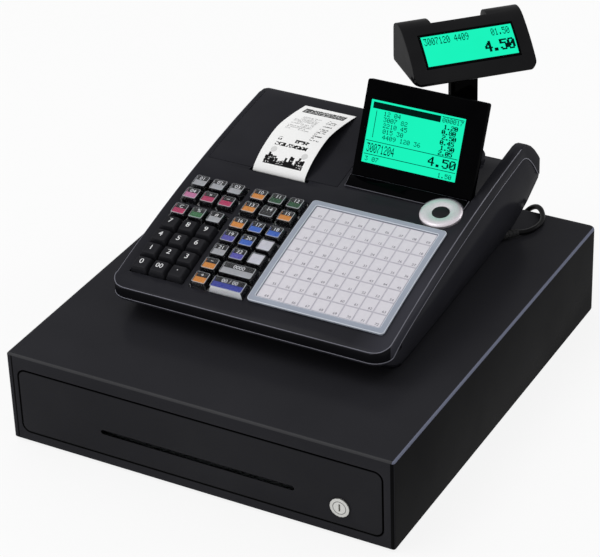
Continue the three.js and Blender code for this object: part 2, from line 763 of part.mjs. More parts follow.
function seat(object, x, s, lift = 0) {
  const [y, z] = deckPoint(s, lift);
  object.position.set(x, y, z);
  object.rotation.x = deckMidSlope - s / deckRadius;
  return object;
}

function onDeck(x, s) {
  const place = seat(new THREE.Object3D(), x, s);
  place.updateMatrix();
  return place.matrix.elements;
}

// A band that follows the deck between two heights above it
function deckBand(x0, x1, s0, s1, low, high, steps = 6) {
  const share = (i) => s0 + (i / steps) * (s1 - s0);
  const points = [];
  for (let i = 0; i <= steps; i += 1) points.push(deckPoint(share(i), low));
  for (let i = steps; i >= 0; i -= 1) points.push(deckPoint(share(i), high));
  return acrossX(drawn(points), x0, x1);
}

// Where two lines meet, each given by a point and a slope
function meet([y0, z0], a0, [y1, z1], a1) {
  const turn = Math.cos(a0) * Math.sin(a1) - Math.sin(a0) * Math.cos(a1);
  const t = ((y1 - y0) * Math.sin(a1) - (z1 - z0) * Math.cos(a1)) / turn;
  return [y0 + t * Math.cos(a0), z0 + t * Math.sin(a0)];
}

const noseHigh = [noseReach, drawerTop + noseTop];
const noseFoot = [noseReach, drawerTop + noseLow];
const heelSlope = Math.atan2(noseLow - heelHeight, heelInset);
const lipBottom = deckZ(lipRadius - registerFront) - lipDepth;

// The deck, shoulder and nose in side view, moved inwards by a depth; it starts at startY
function deckLine(depth, startY) {
  const path = new THREE.Path();
  const s0 = deckS(startY, -depth);
  const s1 = deckS(deckRear);
  const steps = 10;
  path.moveTo(...deckPoint(s0, -depth));
  for (let i = 1; i <= steps; i += 1) path.lineTo(...deckPoint(s0 + (i / steps) * (s1 - s0), -depth));
  const high = [noseHigh[0] - depth * Math.sin(shoulderSlope), noseHigh[1] - depth * Math.cos(shoulderSlope)];
  const low = [noseFoot[0] - depth * Math.sin(heelSlope), noseFoot[1] + depth * Math.cos(heelSlope)];
  const tip = meet(high, -shoulderSlope, low, heelSlope);
  const rounded = high[1] > low[1];
  const end = rounded ? high : tip;
  path.quadraticCurveTo(...meet(deckPoint(s1, -depth), deckAngle(deckRear), end, -shoulderSlope), ...end);
  if (rounded) path.quadraticCurveTo(...tip, ...low);
  return path.getPoints(6);
}

function lipLine() {
  const path = new THREE.Path();
  const top = lipRadius - registerFront;
  path.moveTo(-registerFront, lipBottom);
  path.lineTo(-registerFront, deckZ(top) - lipRadius);
  path.quadraticCurveTo(-registerFront, deckZ(-registerFront), top, deckZ(top));
  return path.getPoints(3).slice(0, -1);
}

const outerLine = [...lipLine(), ...deckLine(0, lipRadius - registerFront)];

// Everything under a line in side view, down to the drawer's top
function under(line, floor = drawerTop) {
  const first = line[0];
  const last = line[line.length - 1];
  return new THREE.Shape([new THREE.Vector2(first.x, floor), new THREE.Vector2(last.x, floor),
    ...[...line].reverse()]);
}

const noseTip = outerLine.reduce((most, point) => Math.max(most, point.x), -registerFront);
const roof = drawerTop + registerFront;

// The housing's plan, moved inwards by an inset
function planBody(insetBy, z0 = 0) {
  return raised(roundedSection(-halfRegister + insetBy, halfRegister - insetBy, -registerFront + insetBy,
    noseTip - insetBy, upperFrontRadius - insetBy, upperRearRadius - insetBy), z0, roof, 0, 3);
}

const recessLeft = coverRight + recessGap;
const recessRight = halfRegister - recessSide;
const displayWidth = recessRight - recessLeft - 2 * displaySide;
const recessFloor = (y) => deckZ(recessFront) - recessFrontDepth - (y - recessFront) * Math.tan(recessSlope);

// The recess behind the operator's display, grown by a wall
function recessBody(wall) {
  const front = recessFront - wall;
  const back = noseTip + cut;
  const drop = wall / Math.cos(recessSlope);
  return acrossX(drawn([[front, recessFloor(front) - drop], [back, recessFloor(back) - drop], [back, roof],
    [front, roof]]),
    recessLeft - wall, recessRight + wall);
}

const hingeY = recessFront + hingeBack;
const hingeZ = deckZ(hingeY) - hingeDepth;
const ringS = deckS(ringY);
const coverFrontS = deckS(coverFront);
const coverAxisS = deckS(coverAxisBack);
const coverAxis = deckPoint(coverAxisS, -coverBarrelRadius);
const bayFrontS = coverFrontS - seam;
const bayRearS = coverAxisS + coverBarrelRadius + seam;
const bayLeft = -coverLeft - seam;
const bayRight = coverRight + seam;
const paperLeft = paperCentre - paperWidth / 2;
const paperRight = paperCentre + paperWidth / 2;
const turretTop = drawerTop + turretHeight;
const towerLow = drawerTop + towerHeight;
const rimDepth = lowerInset - 2 * fit;

const rowS = (row) => firstRow + row * rowPitch + (row > 4 ? groupGap : 0);
const columnX = (column) => firstColumn + column * keyPitch + (column > 2 ? blockGap - keyPitch : 0);

// Windows in the deck for each group of keys: two blocks, each parted below the top two rows
const keyWindows = [];
for (const column of [0, 3]) {
  for (const [low, high] of [[0, 4], [5, 6]]) {
    keyWindows.push({
      x0: columnX(column) - keyWidth / 2 - keyMargin, x1: columnX(column + 2) + keyWidth / 2 + keyMargin,
      s0: rowS(low) - keyLength / 2 - keyMargin, s1: rowS(high) + keyLength / 2 + keyMargin,
    });
  }
}

function makeUpperCase() {
  const full = acrossX(under(outerLine), -halfRegister, halfRegister, upperEdge).intersect(planBody(0));
  const hollow = acrossX(under(deckLine(upperWall, upperWall - registerFront)), -halfRegister + upperWall,
    halfRegister - upperWall).intersect(planBody(upperWall));
  const skirtFront = deckCentreY - Math.sqrt((deckRadius - bandWidth) ** 2 - (lipBottom - deckCentreZ) ** 2);
  const band = acrossX(new THREE.Shape([...outerLine, ...deckLine(bandWidth, skirtFront).reverse()]),
    -halfRegister,
    halfRegister);
  const walls = join(
    recessBody(upperWall),
    deckBand(-halfRegister, bayLeft, bayFrontS, bayRearS + upperWall, -rimDepth, 0),
    deckBand(bayRight, recessLeft, bayFrontS, bayRearS + upperWall, -rimDepth, 0),
    raised(circle(0, 0, ringRadius + wellGap + upperWall), -wellDepth - upperWall, 0, 0,
      12).transform(onDeck(ringX, ringS)));
  const openings = [
    recessBody(0),
    ...keyWindows.map(({ x0, x1, s0, s1 }) => deckBand(x0, x1, s0, s1, -2 * upperWall, cut)),
    deckBand(bayLeft, bayRight, bayFrontS, bayRearS, -2 * rimDepth, cut),
    deckBand(paperLeft - paperSlotSide, paperRight + paperSlotSide, bayFrontS - paperSlot, bayFrontS + cut,
      -2 * rimDepth, cut),
    raised(circle(0, 0, ringRadius + wellGap), -wellDepth, cut, 0, 12).transform(onDeck(ringX, ringS)),
  ];
  const shell = cutAway(full.intersect(band.add(walls)), cutAway(hollow, walls), ...openings);
  const turret = join(
    rodZ(poleX, poleY, turretRadius, turretTop - collarStem, turretTop, 12).intersect(full),
    rodZ(poleX, poleY, turretRadius, towerLow, drawerTop + noseLow, 12));
  return cutAway(shell.add(turret),
    rodX(...coverAxis, coverPinRadius + fit, bayLeft - coverPinLength - fit,
      bayRight + coverPinLength + fit, 4),
    rodX(hingeY, hingeZ, pinRadius + fit, recessLeft - pinSeat, recessRight + pinSeat, 4),
    rodZ(poleX, poleY, collarStemRadius + fit, towerLow + upperWall, turretTop + cut, 12));
}

const lowerBottom = drawerTop + fit;
const lowerSpan = roof - lowerBottom;

// One level of the lower shell's tapering tub, moved inwards by a wall
function tubLoop(height, wall) {
  const side = height * lowerDraftSide - wall * Math.hypot(1, lowerDraftSide);
  return loop(lowerFrontHalf + side, lowerRearHalf + side,
    -lowerFront - height * lowerDraftFront + wall * Math.hypot(1, lowerDraftFront),
    lowerRear + height * lowerDraftRear - wall * Math.hypot(1,
      lowerDraftRear), lowerCorner - wall, lowerBottom + height);
}

const boardZ = lowerBottom + lowerWall + boardLift;
const reliefBack = new THREE.Vector3(...reliefAt);
reliefBack.z += drawerTop;
const reliefAim = new THREE.Vector3(...reliefTip);
reliefAim.z += drawerTop;
reliefAim.sub(reliefBack).normalize();
const reliefTurn = new THREE.Quaternion().setFromUnitVectors(new THREE.Vector3(0, 0, 1), reliefAim);
const reliefPlace = new THREE.Matrix4().compose(reliefBack, reliefTurn, new THREE.Vector3(1, 1, 1));

// A body along the deck whose half width changes with its depth; rows give [half width, lift] upwards
function deckSkin(rows, s0, s1, steps = 8) {
  const loops = [];
  for (let i = 0; i <= steps; i += 1) {
    const right = rows.map(([half, lift]) => [half, ...deckPoint(s1 + (i / steps) * (s0 - s1), lift)]);
    loops.push([...right, ...right.map(([x, y, z]) => [-x, y, z]).reverse()]);
  }
  return loft(...loops);
}

const heelFoot = new THREE.Vector2(noseReach - heelInset - heelHeight / Math.tan(heelSlope), drawerTop);

// The lower shell as one block, moved inwards by a wall: sides that lean in below a crease, a sloping
// front and underside, and a back that leans in below the nose
function lowerBlock(wall) {
  const half = halfRegister - lowerStep - wall;
  const deepest = registerFront;
  const sides = deckSkin([[half - (deepest - creaseDepth) * creaseTaper, -deepest], [half, -creaseDepth],
    [half, 2 * bandWidth]], deckS(-registerFront - bandWidth), deckS(noseReach + bandWidth));
  const tub = loft(tubLoop(wall, wall), tubLoop(lowerSpan + wall, wall));
  const heel = heelFoot.x - wall / Math.sin(heelSlope);
  const back = acrossX(under([new THREE.Vector2(-registerFront - cut, roof + bandWidth),
    new THREE.Vector2(heel + (roof - drawerTop + bandWidth) / Math.tan(heelSlope), roof + bandWidth),
    new THREE.Vector2(heel, drawerTop)]), -halfRegister, halfRegister);
  return sides.intersect(tub).intersect(back);
}

function makeLowerCase() {
  const block = lowerBlock(0);
  const jointLine = [...deckLine(bandWidth + fit, -registerFront - bandWidth),
    new THREE.Vector2(noseFoot[0] - fit * Math.cos(heelSlope),
      noseFoot[1] - fit * Math.sin(heelSlope)), heelFoot];
  const belowLip = box(-halfRegister, halfRegister, -registerFront, -lowerFront, drawerTop, lipBottom - fit);
  const behindLip = box(-halfRegister, halfRegister, -lowerFront, noseTip, drawerTop, roof);
  const rimLine = [...deckLine(lowerInset, -registerFront - lowerInset),
    new THREE.Vector2(noseFoot[0] - lowerInset, noseFoot[1] - lowerInset), heelFoot];
  const outside = join(
    block.intersect(planBody(lowerStep)).intersect(acrossX(under(jointLine), -halfRegister, halfRegister))
      .intersect(belowLip.add(behindLip)),
    planBody(lowerStep).intersect(box(-halfRegister, halfRegister, -registerFront, -lowerFront,
      lipBottom - lowerLedge, lipBottom - fit)),
    block.intersect(planBody(upperWall + fit)).intersect(acrossX(under(rimLine), -halfRegister,
      halfRegister)));
  const inside = lowerBlock(lowerWall).intersect(planBody(upperWall + fit + lowerWall));
  const posts = [];
  for (const x of [-1, 1]) {
    for (const y of [-1, 1]) {
      posts.push(rodZ(x * (boardWidth / 2 - 2 * postRadius),
        boardY + y * (boardLength / 2 - 2 * postRadius), postRadius,
        lowerBottom + lowerWall / 2, boardZ - fit, 4));
    }
  }
  const cableHole = rodZ(0, 0, reliefRadius + fit, -reliefLength, reliefLength,
    8).transform(reliefPlace.elements);
  return cutAway(join(cutAway(outside, inside), ...posts), recessBody(upperWall + fit), cableHole,
    rodZ(poleX, poleY, turretRadius + fit, towerLow - fit, roof, 12));
}

node('lower_case', makeLowerCase(), 'housing');
node('upper_case', makeUpperCase(), 'housing');
const board = node('main_board', box(-boardWidth / 2, boardWidth / 2, -boardLength / 2, boardLength / 2, 0,
  boardThickness),
  'boardGreen');
board.position.set(0, boardY, boardZ);

// Keyboard: nineteen keys that press, the others standing on the key mat

// A key cap with a stem, origin on the deck's surface
function makeKey(width) {
  const level = (shrink, z) => loop(width / 2 - shrink, width / 2 - shrink, -keyLength / 2 + shrink,
    keyLength / 2 - shrink,
    keyCorner, z, 2);
  const skirt = loft(level(0, -keySkirt), level(0, keySkirt / 2));
  const head = loft(level(0, keySkirt / 2), level(keyTaper / 2, keyHeight));
  return join(skirt, head, rodZ(0, 0, keyStemRadius, -keySkirt - keyStemLength, 0, 4));
}

const wideKey = keyWidth + keyPitch;
const keys = [
  ['key_0', 0, 0, 'numberKey'], ['key_00', 1, 0, 'numberKey'], ['key_point', 2, 0, 'numberKey'],
  ['key_1', 0, 1, 'numberKey'], ['key_2', 1, 1, 'numberKey'], ['key_3', 2, 1, 'numberKey'],
  ['key_4', 0, 2, 'numberKey'], ['key_5', 1, 2, 'numberKey'], ['key_6', 2, 2, 'numberKey'],
  ['key_7', 0, 3, 'numberKey'], ['key_8', 1, 3, 'numberKey'], ['key_9', 2, 3, 'numberKey'],
  ['key_red', 0, 4, 'clearRed'], ['key_green', 1, 4, 'clearGreen'], ['key_grey', 2, 4, 'clearGrey'],
  ['key_orange_lower', 3, 0, 'clearOrange'], ['key_wide_blue', 4, 0, 'clearBlue'],
  ['key_orange_upper', 3, 1, 'clearOrange'], ['key_wide_grey', 4, 1, 'clearGrey'],
];
const isWide = (name) => name.includes('wide');
const keyX = (name, column) => columnX(column) + (isWide(name) ? keyPitch / 2 : 0);

function makeKeyMat() {
  const x0 = columnX(0) - keyWidth / 2 - keyMargin - matRim;
  const x1 = columnX(5) + keyWidth / 2 + keyMargin + matRim;
  const s0 = rowS(0) - keyLength / 2 - keyMargin - matRim;
  const s1 = rowS(6) + keyLength / 2 + keyMargin + matRim;
  let mat = cutAway(
    deckBand(x0, x1, s0, s1, -matDepth - matThickness, -upperWall - fit),
    deckBand(x0 + matRim, x1 - matRim, s0 + matRim, s1 - matRim, -matDepth, cut));
  for (const [name, column, row] of keys) {
    mat = mat.subtract(rodZ(0, 0, keyStemRadius + fit, -2 * matDepth, 0, 4)
      .transform(onDeck(keyX(name, column), rowS(row))));
  }
  const cap = makeKey(keyWidth);
  for (let column = 0; column < 6; column += 1) {
    for (let row = column < 3 ? 5 : 2; row < 7; row += 1) {
      mat = mat.add(cap.transform(onDeck(columnX(column), rowS(row))));
    }
  }
  return mat;
}

node('key_mat', makeKeyMat(), 'numberKey');
for (const [name, column, row, finish] of keys) {
  seat(node(name, makeKey(isWide(name) ? wideKey : keyWidth), finish), keyX(name, column), rowS(row));
}

// Touch-sheet keyboard: a flat sheet held down by a raised frame

const frameX0 = columnX(5) + keyWidth / 2 + keyMargin + sheetFrameKeyGap;
const frameX1 = halfRegister - sheetFrameSide;
const frameS0 = deckS(-registerFront) + sheetFrameFront;
const frameS1 = ringS - ringRadius - sheetFrameRingGap;
const frameHalfX = (frameX1 - frameX0) / 2;
const frameHalfS = (frameS1 - frameS0) / 2;

// A rounded plate over the touch-sheet keyboard, moved inwards by an inset
function sheetPlate(insetBy, corner) {
  const halfX = frameHalfX - insetBy;
  const halfS = frameHalfS - insetBy;
  const plate = roundedSection(-halfX, halfX, -halfS, halfS, corner);
  return raised(plate, -2 * upperWall, 2 * upperWall, 0, 3)
    .transform(onDeck(frameX0 + frameHalfX, frameS0 + frameHalfS));
}

node('membrane_frame', cutAway(
  deckBand(frameX0 - cut, frameX1 + cut, frameS0 - cut, frameS1 + cut, fit, fit + sheetFrameHeight)
    .intersect(sheetPlate(0, sheetFrameCorner)),
  sheetPlate(sheetFrameBorder, sheetFrameCorner / 2)), 'frameGrey');
node('membrane_sheet', deckBand(frameX0 + sheetFrameBorder + fit, frameX1 - sheetFrameBorder - fit,
  frameS0 + sheetFrameBorder + fit, frameS1 - sheetFrameBorder - fit, fit, fit + sheetThickness)
  .intersect(sheetPlate(sheetFrameBorder + fit, sheetFrameCorner / 2)), 'sheetWhite');

// Navigation ring with a button in its middle, and the gloss strip beside it

const ringBottom = -wellDepth / 2;
const ringTop = ringHeight;
const ringInner = centreButtonRadius + 2 * fit;
seat(node('navigation_ring', turned([[ringInner, ringBottom], [ringRadius, ringBottom],
  [ringRadius, ringTop * 0.5],
  [ringRadius * 0.95, ringTop * 0.85], [ringRadius * 0.85, ringTop], [ringRadius * 0.6, ringTop * 0.9],
  [ringInner, ringTop * 0.7], [ringInner, ringBottom]], 28), 'ringMetal'), ringX, ringS);
seat(node('centre_button', turned([[0, ringBottom / 2], [centreButtonRadius, ringBottom / 2],
  [centreButtonRadius, centreButtonHeight * 0.8], [centreButtonRadius * 0.85, centreButtonHeight],
  [0, centreButtonHeight * 1.1]], 20), 'numberKey'), ringX, ringS);

function makeDisplayTrim() {
  const s0 = deckS(trimFront) - ringS;
  const s1 = deckS(recessFront) - ringS;
  const left = recessLeft + seam - ringX;
  const right = recessRight - seam - ringX;
  const strip = raised(drawn([[left + trimSlant, s0], [right, s0], [right, s1], [left, s1]]), fit,
    fit + trimThickness);
  return cutAway(strip, rodZ(0, 0, ringRadius + wellGap, -cut, 2 * ringTop, 16));
}

seat(node('display_trim', makeDisplayTrim(), 'glossBlack'), ringX, ringS);

// Operator's display: a flip-up housing on a steel pin, with its glass let into the front

const displayLeft = recessLeft + displaySide;

function makeOperatorDisplay() {
  const half = displayThickness / 2;
  const housing = raised(roundedSection(0, displayWidth, -half, displayHeight, displayEdge), -half, half,
    displayEdge / 2, 2)
    .transform(alongY.elements);
  const barrelSpace = box(-cut, displayWidth + cut, -2 * half, 2 * half, -2 * half, 0);
  const barrel = rodX(0, 0, half, 0, displayWidth, 8);
  const pocket = box(screenLeft - fit, screenLeft + screenWidth + fit, -half - cut,
    -half + screenThickness + fit,
    screenLow - fit, screenLow + screenHeight + fit);
  return cutAway(join(cutAway(housing, barrelSpace), barrel), pocket,
    rodX(0, 0, pinRadius + fit, -cut, displayWidth + cut, 4));
}

const displayGroup = new THREE.Group();
displayGroup.position.set(displayLeft, hingeY, hingeZ);
displayGroup.rotation.x = -displayTilt;
group.add(displayGroup);
node('operator_display', makeOperatorDisplay(), 'glossBlack', displayGroup);
node('operator_screen', box(screenLeft, screenLeft + screenWidth, -displayThickness / 2,
  -displayThickness / 2 + screenThickness, screenLow, screenLow + screenHeight), 'screen', displayGroup);
node('hinge_pin', rodX(0, 0, pinRadius, recessLeft - pinSeat + fit, recessRight + pinSeat - fit, 4),
  'nickel').position.set(0, hingeY, hingeZ);

// Printer: a hinged cover that carries the platen, a cradle for the roll and the paper coming out

const platenZ = deckZ(platenY) - platenDepth;
const rollZ = deckZ(rollY) - rollDepth;
const platenHalf = paperWidth / 2 + 2 * fit;

function makePrinterCover() {
  let cover = join(
    deckBand(-coverLeft, coverRight, coverFrontS, coverAxisS, -coverThickness, 0, 10),
    rodX(...coverAxis, coverBarrelRadius, -coverLeft, coverRight, 8),
    rodX(...coverAxis, coverPinRadius, -coverLeft - coverPinLength, coverRight + coverPinLength, 4));
  for (const side of [-1, 1]) {
    const inner = paperCentre + side * (platenHalf + fit);
    const outer = inner + side * platenEar;
    const ear = join(
      acrossX(drawn([[platenY - platenRadius, platenZ], [platenY + platenRadius, platenZ],
        [platenY + 2 * platenRadius, deckZ(platenY + 2 * platenRadius) - coverThickness / 2],
        [platenY - platenRadius,
          deckZ(platenY - platenRadius) - coverThickness / 2]]), Math.min(inner, outer),
        Math.max(inner, outer)),
      rodX(platenY, platenZ, platenRadius, Math.min(inner, outer), Math.max(inner, outer), 8));
    cover = cover.add(ear);
  }
  return cutAway(cover, rodX(platenY, platenZ, platenShaft + fit, paperLeft - 2 * platenRadius,
    paperRight + 2 * platenRadius, 6));
}

function makeReceipt() {
  const slotY = deckPoint(bayFrontS - paperSlot * receiptSlotShare)[0];
  const reach = receiptEnd - slotY;
  const middle = new THREE.CatmullRomCurve3([
    new THREE.Vector3(0, platenY - platenRadius - fit - paperThickness / 2, platenZ),
    new THREE.Vector3(0, slotY, deckZ(slotY)),
    ...receiptShares.map(([along, up]) => new THREE.Vector3(0, slotY + along * reach,
      deckZ(slotY + along * reach) + up * receiptRise)),
  ], false, 'centripetal').getPoints(26);
  const front = [];
  const back = [];
  middle.forEach((point, i) => {
    const before = middle[Math.max(i - 1, 0)];
    const after = middle[Math.min(i + 1, middle.length - 1)];
    const aside = new THREE.Vector2(before.z - after.z,
      after.y - before.y).normalize().multiplyScalar(paperThickness / 2);
    front.push([point.y + aside.x, point.z + aside.y]);
    back.push([point.y - aside.x, point.z - aside.y]);
  });
  return acrossX(drawn([...front, ...back.reverse()]), paperLeft, paperRight);
}

function makePrinterFrame() {
  const floor = lowerBottom + lowerWall + fit;
  const floorTop = floor + cradleWall;
  const left = paperLeft - fit - cradleGap - cradleWall;
  const right = paperRight + fit + cradleGap + cradleWall;
  const reach = rollRadius + fit + cradleWall;
  const trough = cutAway(
    acrossX(drawn([[rollY - reach, floor], [rollY + reach, floor], [rollY + reach, rollZ],
      [rollY - reach, rollZ]]), left, right),
    rodX(rollY, rollZ, rollRadius + fit, left - cut, right + cut, 16),
    acrossX(drawn([[rollY - reach + cradleWall, floorTop], [rollY + reach - cradleWall, floorTop],
      [rollY + reach - cradleWall, rollZ - rollRadius], [rollY + reach / 2, rollZ - reach],
      [rollY - reach / 2, rollZ - reach], [rollY - reach + cradleWall,
        rollZ - rollRadius]]), left - cut, right + cut));
  const cheek = (x0) => acrossX(drawn([[rollY - reach, rollZ - reach], [rollY + reach, rollZ - reach],
    [rollY + reach, rollZ], [rollY + reach / 2, rollZ + reach / 2], [rollY - reach / 2, rollZ + reach / 2],
    [rollY - reach, rollZ]]), x0, x0 + cradleWall);
  const headTop = platenZ - platenRadius + headOverlap;
  const headBack = platenY - platenRadius - 2 * fit;
  const headFront = headBack - headBlockDepth;
  return join(trough, cheek(left), cheek(right - cradleWall),
    box(left, right, headFront, rollY - reach + cut, floor, floorTop),
    box(left, right, headFront, headFront + cradleWall, floor, headTop),
    box(left, right, headFront, headBack, headTop - headBlockHeight, headTop));
}

const roll = circle(0, 0, rollRadius);
roll.holes.push(circle(0, 0, rollCore));
node('printer_cover', makePrinterCover(), 'housing');
node('printer_frame', makePrinterFrame(), 'innerPlastic');
node('paper_roll', acrossX(roll, paperLeft, paperRight, 0, 16), 'paper').position.set(0, rollY, rollZ);
node('receipt', makeReceipt(), 'paper');
node('platen_roller', join(rodX(0, 0, platenRadius, -platenHalf, platenHalf, 10),
  rodX(0, 0, platenShaft, -platenHalf - platenShaftLength, platenHalf + platenShaftLength,
    5)), 'platenRubber')
  .position.set(paperCentre, platenY, platenZ);

// Customer display: a collar that swivels, a pole that slides in it, and a head that tilts on the pole

const headAxisZ = drawerTop + headAxisHeight;
const poleLow = drawerTop + poleBottom;
const poleGroup = new THREE.Group();
poleGroup.position.set(poleX, poleY, 0);
poleGroup.rotation.z = headTurn;
group.add(poleGroup);
const poleSection = (grown) => roundedSection(-poleWidth / 2 - grown, poleWidth / 2 + grown,
  -poleDepth / 2 - grown,
  poleDepth / 2 + grown, poleCorner + grown);

function makeCollar() {
  const flangeLow = turretTop + fit;
  const collar = turned([[0, turretTop - collarStem], [collarStemRadius, turretTop - collarStem],
    [collarStemRadius, flangeLow], [collarFlangeRadius, flangeLow], [collarFlangeRadius,
      flangeLow + collarFlange * 0.7],
    [collarFlangeRadius - collarFlange * 0.4, flangeLow + collarFlange], [0, flangeLow + collarFlange]], 32);
  return cutAway(collar, raised(poleSection(fit), drawerTop, headAxisZ));
}

function makePole() {
  return join(
    raised(poleSection(0), poleLow, headAxisZ),
    rodX(0, headAxisZ, poleDepth / 2, -poleWidth / 2, poleWidth / 2, 8),
    rodX(0, headAxisZ, headPinRadius, -poleWidth / 2 - headPinLength, poleWidth / 2 + headPinLength, 4));
}

// The head's own frame: x along its width, y to its back, z up, origin on the tilt axis
const facePlace = new THREE.Matrix4().compose(new THREE.Vector3(headOffset, -headFaceForward, headFaceHeight),
  new THREE.Quaternion().setFromAxisAngle(new THREE.Vector3(1, 0, 0), Math.PI / 2 - headFaceTilt),
  new THREE.Vector3(1, 1, 1));

function makeCustomerHead() {
  const side = acrossX(drawn(headProfile.map(([forward, up]) => [-forward, up])), headOffset - headHalf,
    headOffset + headHalf);
  const silhouette = raised(roundedSection(-headHalf, headHalf, headFaceLow, headFaceHigh, headCorner),
    -headReach, headReach,
    0, 3).transform(facePlace.elements);
  const notch = raised(drawn([[notchLeft, headFaceHigh - notchDepth], [notchRight, headFaceHigh - notchDepth],
    [notchRight + notchDepth / 2, headFaceHigh + cut], [notchLeft - notchDepth / 2, headFaceHigh + cut]]),
    -headReach, headReach).transform(facePlace.elements);
  const pocket = raised(roundedSection(-headScreenWidth / 2 - fit, headScreenWidth / 2 + fit,
    -headScreenHeight / 2 - fit,
    headScreenHeight / 2 + fit, fit), -headScreenThickness, headReach).transform(facePlace.elements);
  const slotHalf = poleWidth / 2 + 2 * fit;
  const slot = box(-slotHalf, slotHalf, -poleDepth, poleDepth, -headReach, poleDepth / 2 + headSlotRoom);
  const pins = rodX(0, 0, headPinRadius + fit, -poleWidth / 2 - headPinLength - fit,
    poleWidth / 2 + headPinLength + fit, 4);
  return cutAway(side.intersect(silhouette), notch, pocket, slot, pins);
}

poleGroup.add(node('swivel_collar', makeCollar(), 'housing'));
poleGroup.add(node('pole', makePole(), 'housing'));
const headGroup = new THREE.Group();
headGroup.position.z = headAxisZ;
poleGroup.add(headGroup);
node('customer_head', makeCustomerHead(), 'glossBlack', headGroup);
const headScreenOutline = roundedSection(-headScreenWidth / 2, headScreenWidth / 2, -headScreenHeight / 2,
  headScreenHeight / 2, fit);
const headScreen = raised(headScreenOutline, fit - headScreenThickness, fit).transform(facePlace.elements);
node('customer_screen', headScreen, 'glossBlack', headGroup);

// Mains lead: a strain relief, the free run down behind the cabinet, a wound coil and a plug

const leadRadius = leadDiameter / 2;
const leadFloor = leadRadius + fit;

function makeStrainRelief() {
  const bore = leadRadius + fit;
  const profile = [[bore, 0]];
  const rib = reliefLength / (2 * reliefRibs + 1);
  for (let i = 0; i <= 2 * reliefRibs; i += 1) {
    const share = i / (2 * reliefRibs);
    const radius = reliefRadius - share * reliefTaper - (i % 2) * reliefGroove;
    profile.push([radius, i * rib], [radius, (i + 1) * rib]);
  }
  profile.push([bore, reliefLength], [bore, 0]);
  return turned(profile, 10).transform(reliefPlace.elements);
}

const reliefPoint = (share) => reliefBack.clone().addScaledVector(reliefAim, share * reliefLength);
const coilOuter = coilInner + coilPitch * coilTurns / 2;

// The coil winds inwards on the floor, steps up one layer, and winds outwards again
function coilPoints() {
  const points = [];
  const steps = Math.round(coilTurns * coilStepsPerTurn);
  const half = steps / 2;
  for (let i = 0; i <= steps; i += 1) {
    const angle = -Math.PI / 2 - (i / coilStepsPerTurn) * 2 * Math.PI;
    const inwards = Math.min(Math.abs(i - half) / half, 1);
    const radius = coilInner + inwards * (coilOuter - coilInner);
    const climb = THREE.MathUtils.smoothstep(i, half - coilStepsPerTurn * coilStepShare,
      half + coilStepsPerTurn * coilStepShare);
    points.push(new THREE.Vector3(coilX + radius * Math.cos(angle), coilY + radius * Math.sin(angle),
      leadFloor + climb * coilPitch));
  }
  return points;
}

const coilLine = coilPoints();
const coilEnd = coilLine[coilLine.length - 1];
const plugZ = leadFloor + coilPitch + leadRadius + fit + plugHeight / 2;
const tail = tailShares.map(([x, y, climb]) => new THREE.Vector3(coilX + x * coilOuter, coilY + y * coilOuter,
  coilEnd.z + climb * (plugZ - coilEnd.z)));

// The coil's least clearance to itself, measured between points more than a third of a turn apart
function leastCoilGap(points) {
  let least = Infinity;
  for (let i = 0; i < points.length; i += 1) {
    for (let j = i + Math.round(coilStepsPerTurn / 3); j < points.length; j += 1) {
      least = Math.min(least, points[i].distanceTo(points[j]));
    }
  }
  return least - leadDiameter;
}

const coilCurve = new THREE.CatmullRomCurve3([...coilLine, ...tail], false, 'centripetal');
const coilSteps = Math.round(coilTurns * coilStepsPerTurn) + tailSteps;
console.log('least gap of the coil to itself, mm:',
  leastCoilGap(coilCurve.getSpacedPoints(4 * coilSteps)).toFixed(2));

const onTop = leadOnTop.map(([x, y, z]) => new THREE.Vector3(x, y, drawerTop + z));
const downBack = leadDown.map(([x, behind, share]) => new THREE.Vector3(x, cabinetBackY + behind,
  leadFloor + share * (drawerTop - leadFloor)));
const coilStart = coilLine[0].clone();
coilStart.x += 2 * fit;
const leadCurve = new THREE.CatmullRomCurve3([...[-0.25, 0, 0.5, 1].map(reliefPoint), ...onTop, ...downBack,
  coilStart],
  false, 'centripetal');

function makePlug() {
  const half = plugHeight / 2;
  const body = raised(roundedSection(-plugLength / 2, plugLength / 2, -plugWidth / 2, plugWidth / 2,
    plugCorner), -half, half,
    plugCorner / 3);
  const pins = [-1, 1].map((side) => rodX(side * plugPinSpacing / 2, 0, plugPinRadius,
    -plugLength / 2 - plugPinLength,
    -plugLength / 3, 4));
  return join(body, ...pins);
}

node('strain_relief', makeStrainRelief(), 'rubber');
node('cord', tube(leadCurve, leadRadius, leadSteps, 8), 'cable');
node('cord_coil', tube(coilCurve, leadRadius, coilSteps, 6), 'cable');
const tailEnd = tail[tail.length - 1];
node('plug', makePlug(), 'cable').position.set(tailEnd.x - fit - plugLength / 2, tailEnd.y, plugZ);

// Origin: bottom centre of the box round everything except the mains lead, its coil and its plug

group.updateMatrixWorld(true);
const extent = new THREE.Box3();
const loose = ['cord', 'cord_coil', 'plug'];
group.traverse((child) => {
  if (child.isMesh && !loose.includes(child.name)) extent.union(new THREE.Box3().setFromObject(child, true));
});
const middle = extent.getCenter(new THREE.Vector3());
group.position.set(-middle.x, -middle.y, -extent.min.z);
group.updateMatrixWorld(true);
console.log('shift of the origin, mm:', group.position.toArray().map((value) => value.toFixed(3)).join(' '));

export default group;
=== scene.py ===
# Cash register on a sheet-steel cash drawer, dressed for a photograph.
# The solids come packed from the part's source; each section below finishes one piece or a group
# of like pieces, in the order in which the machine is put together.
import json
import math

import bmesh
import bpy
from mathutils import Matrix, Vector

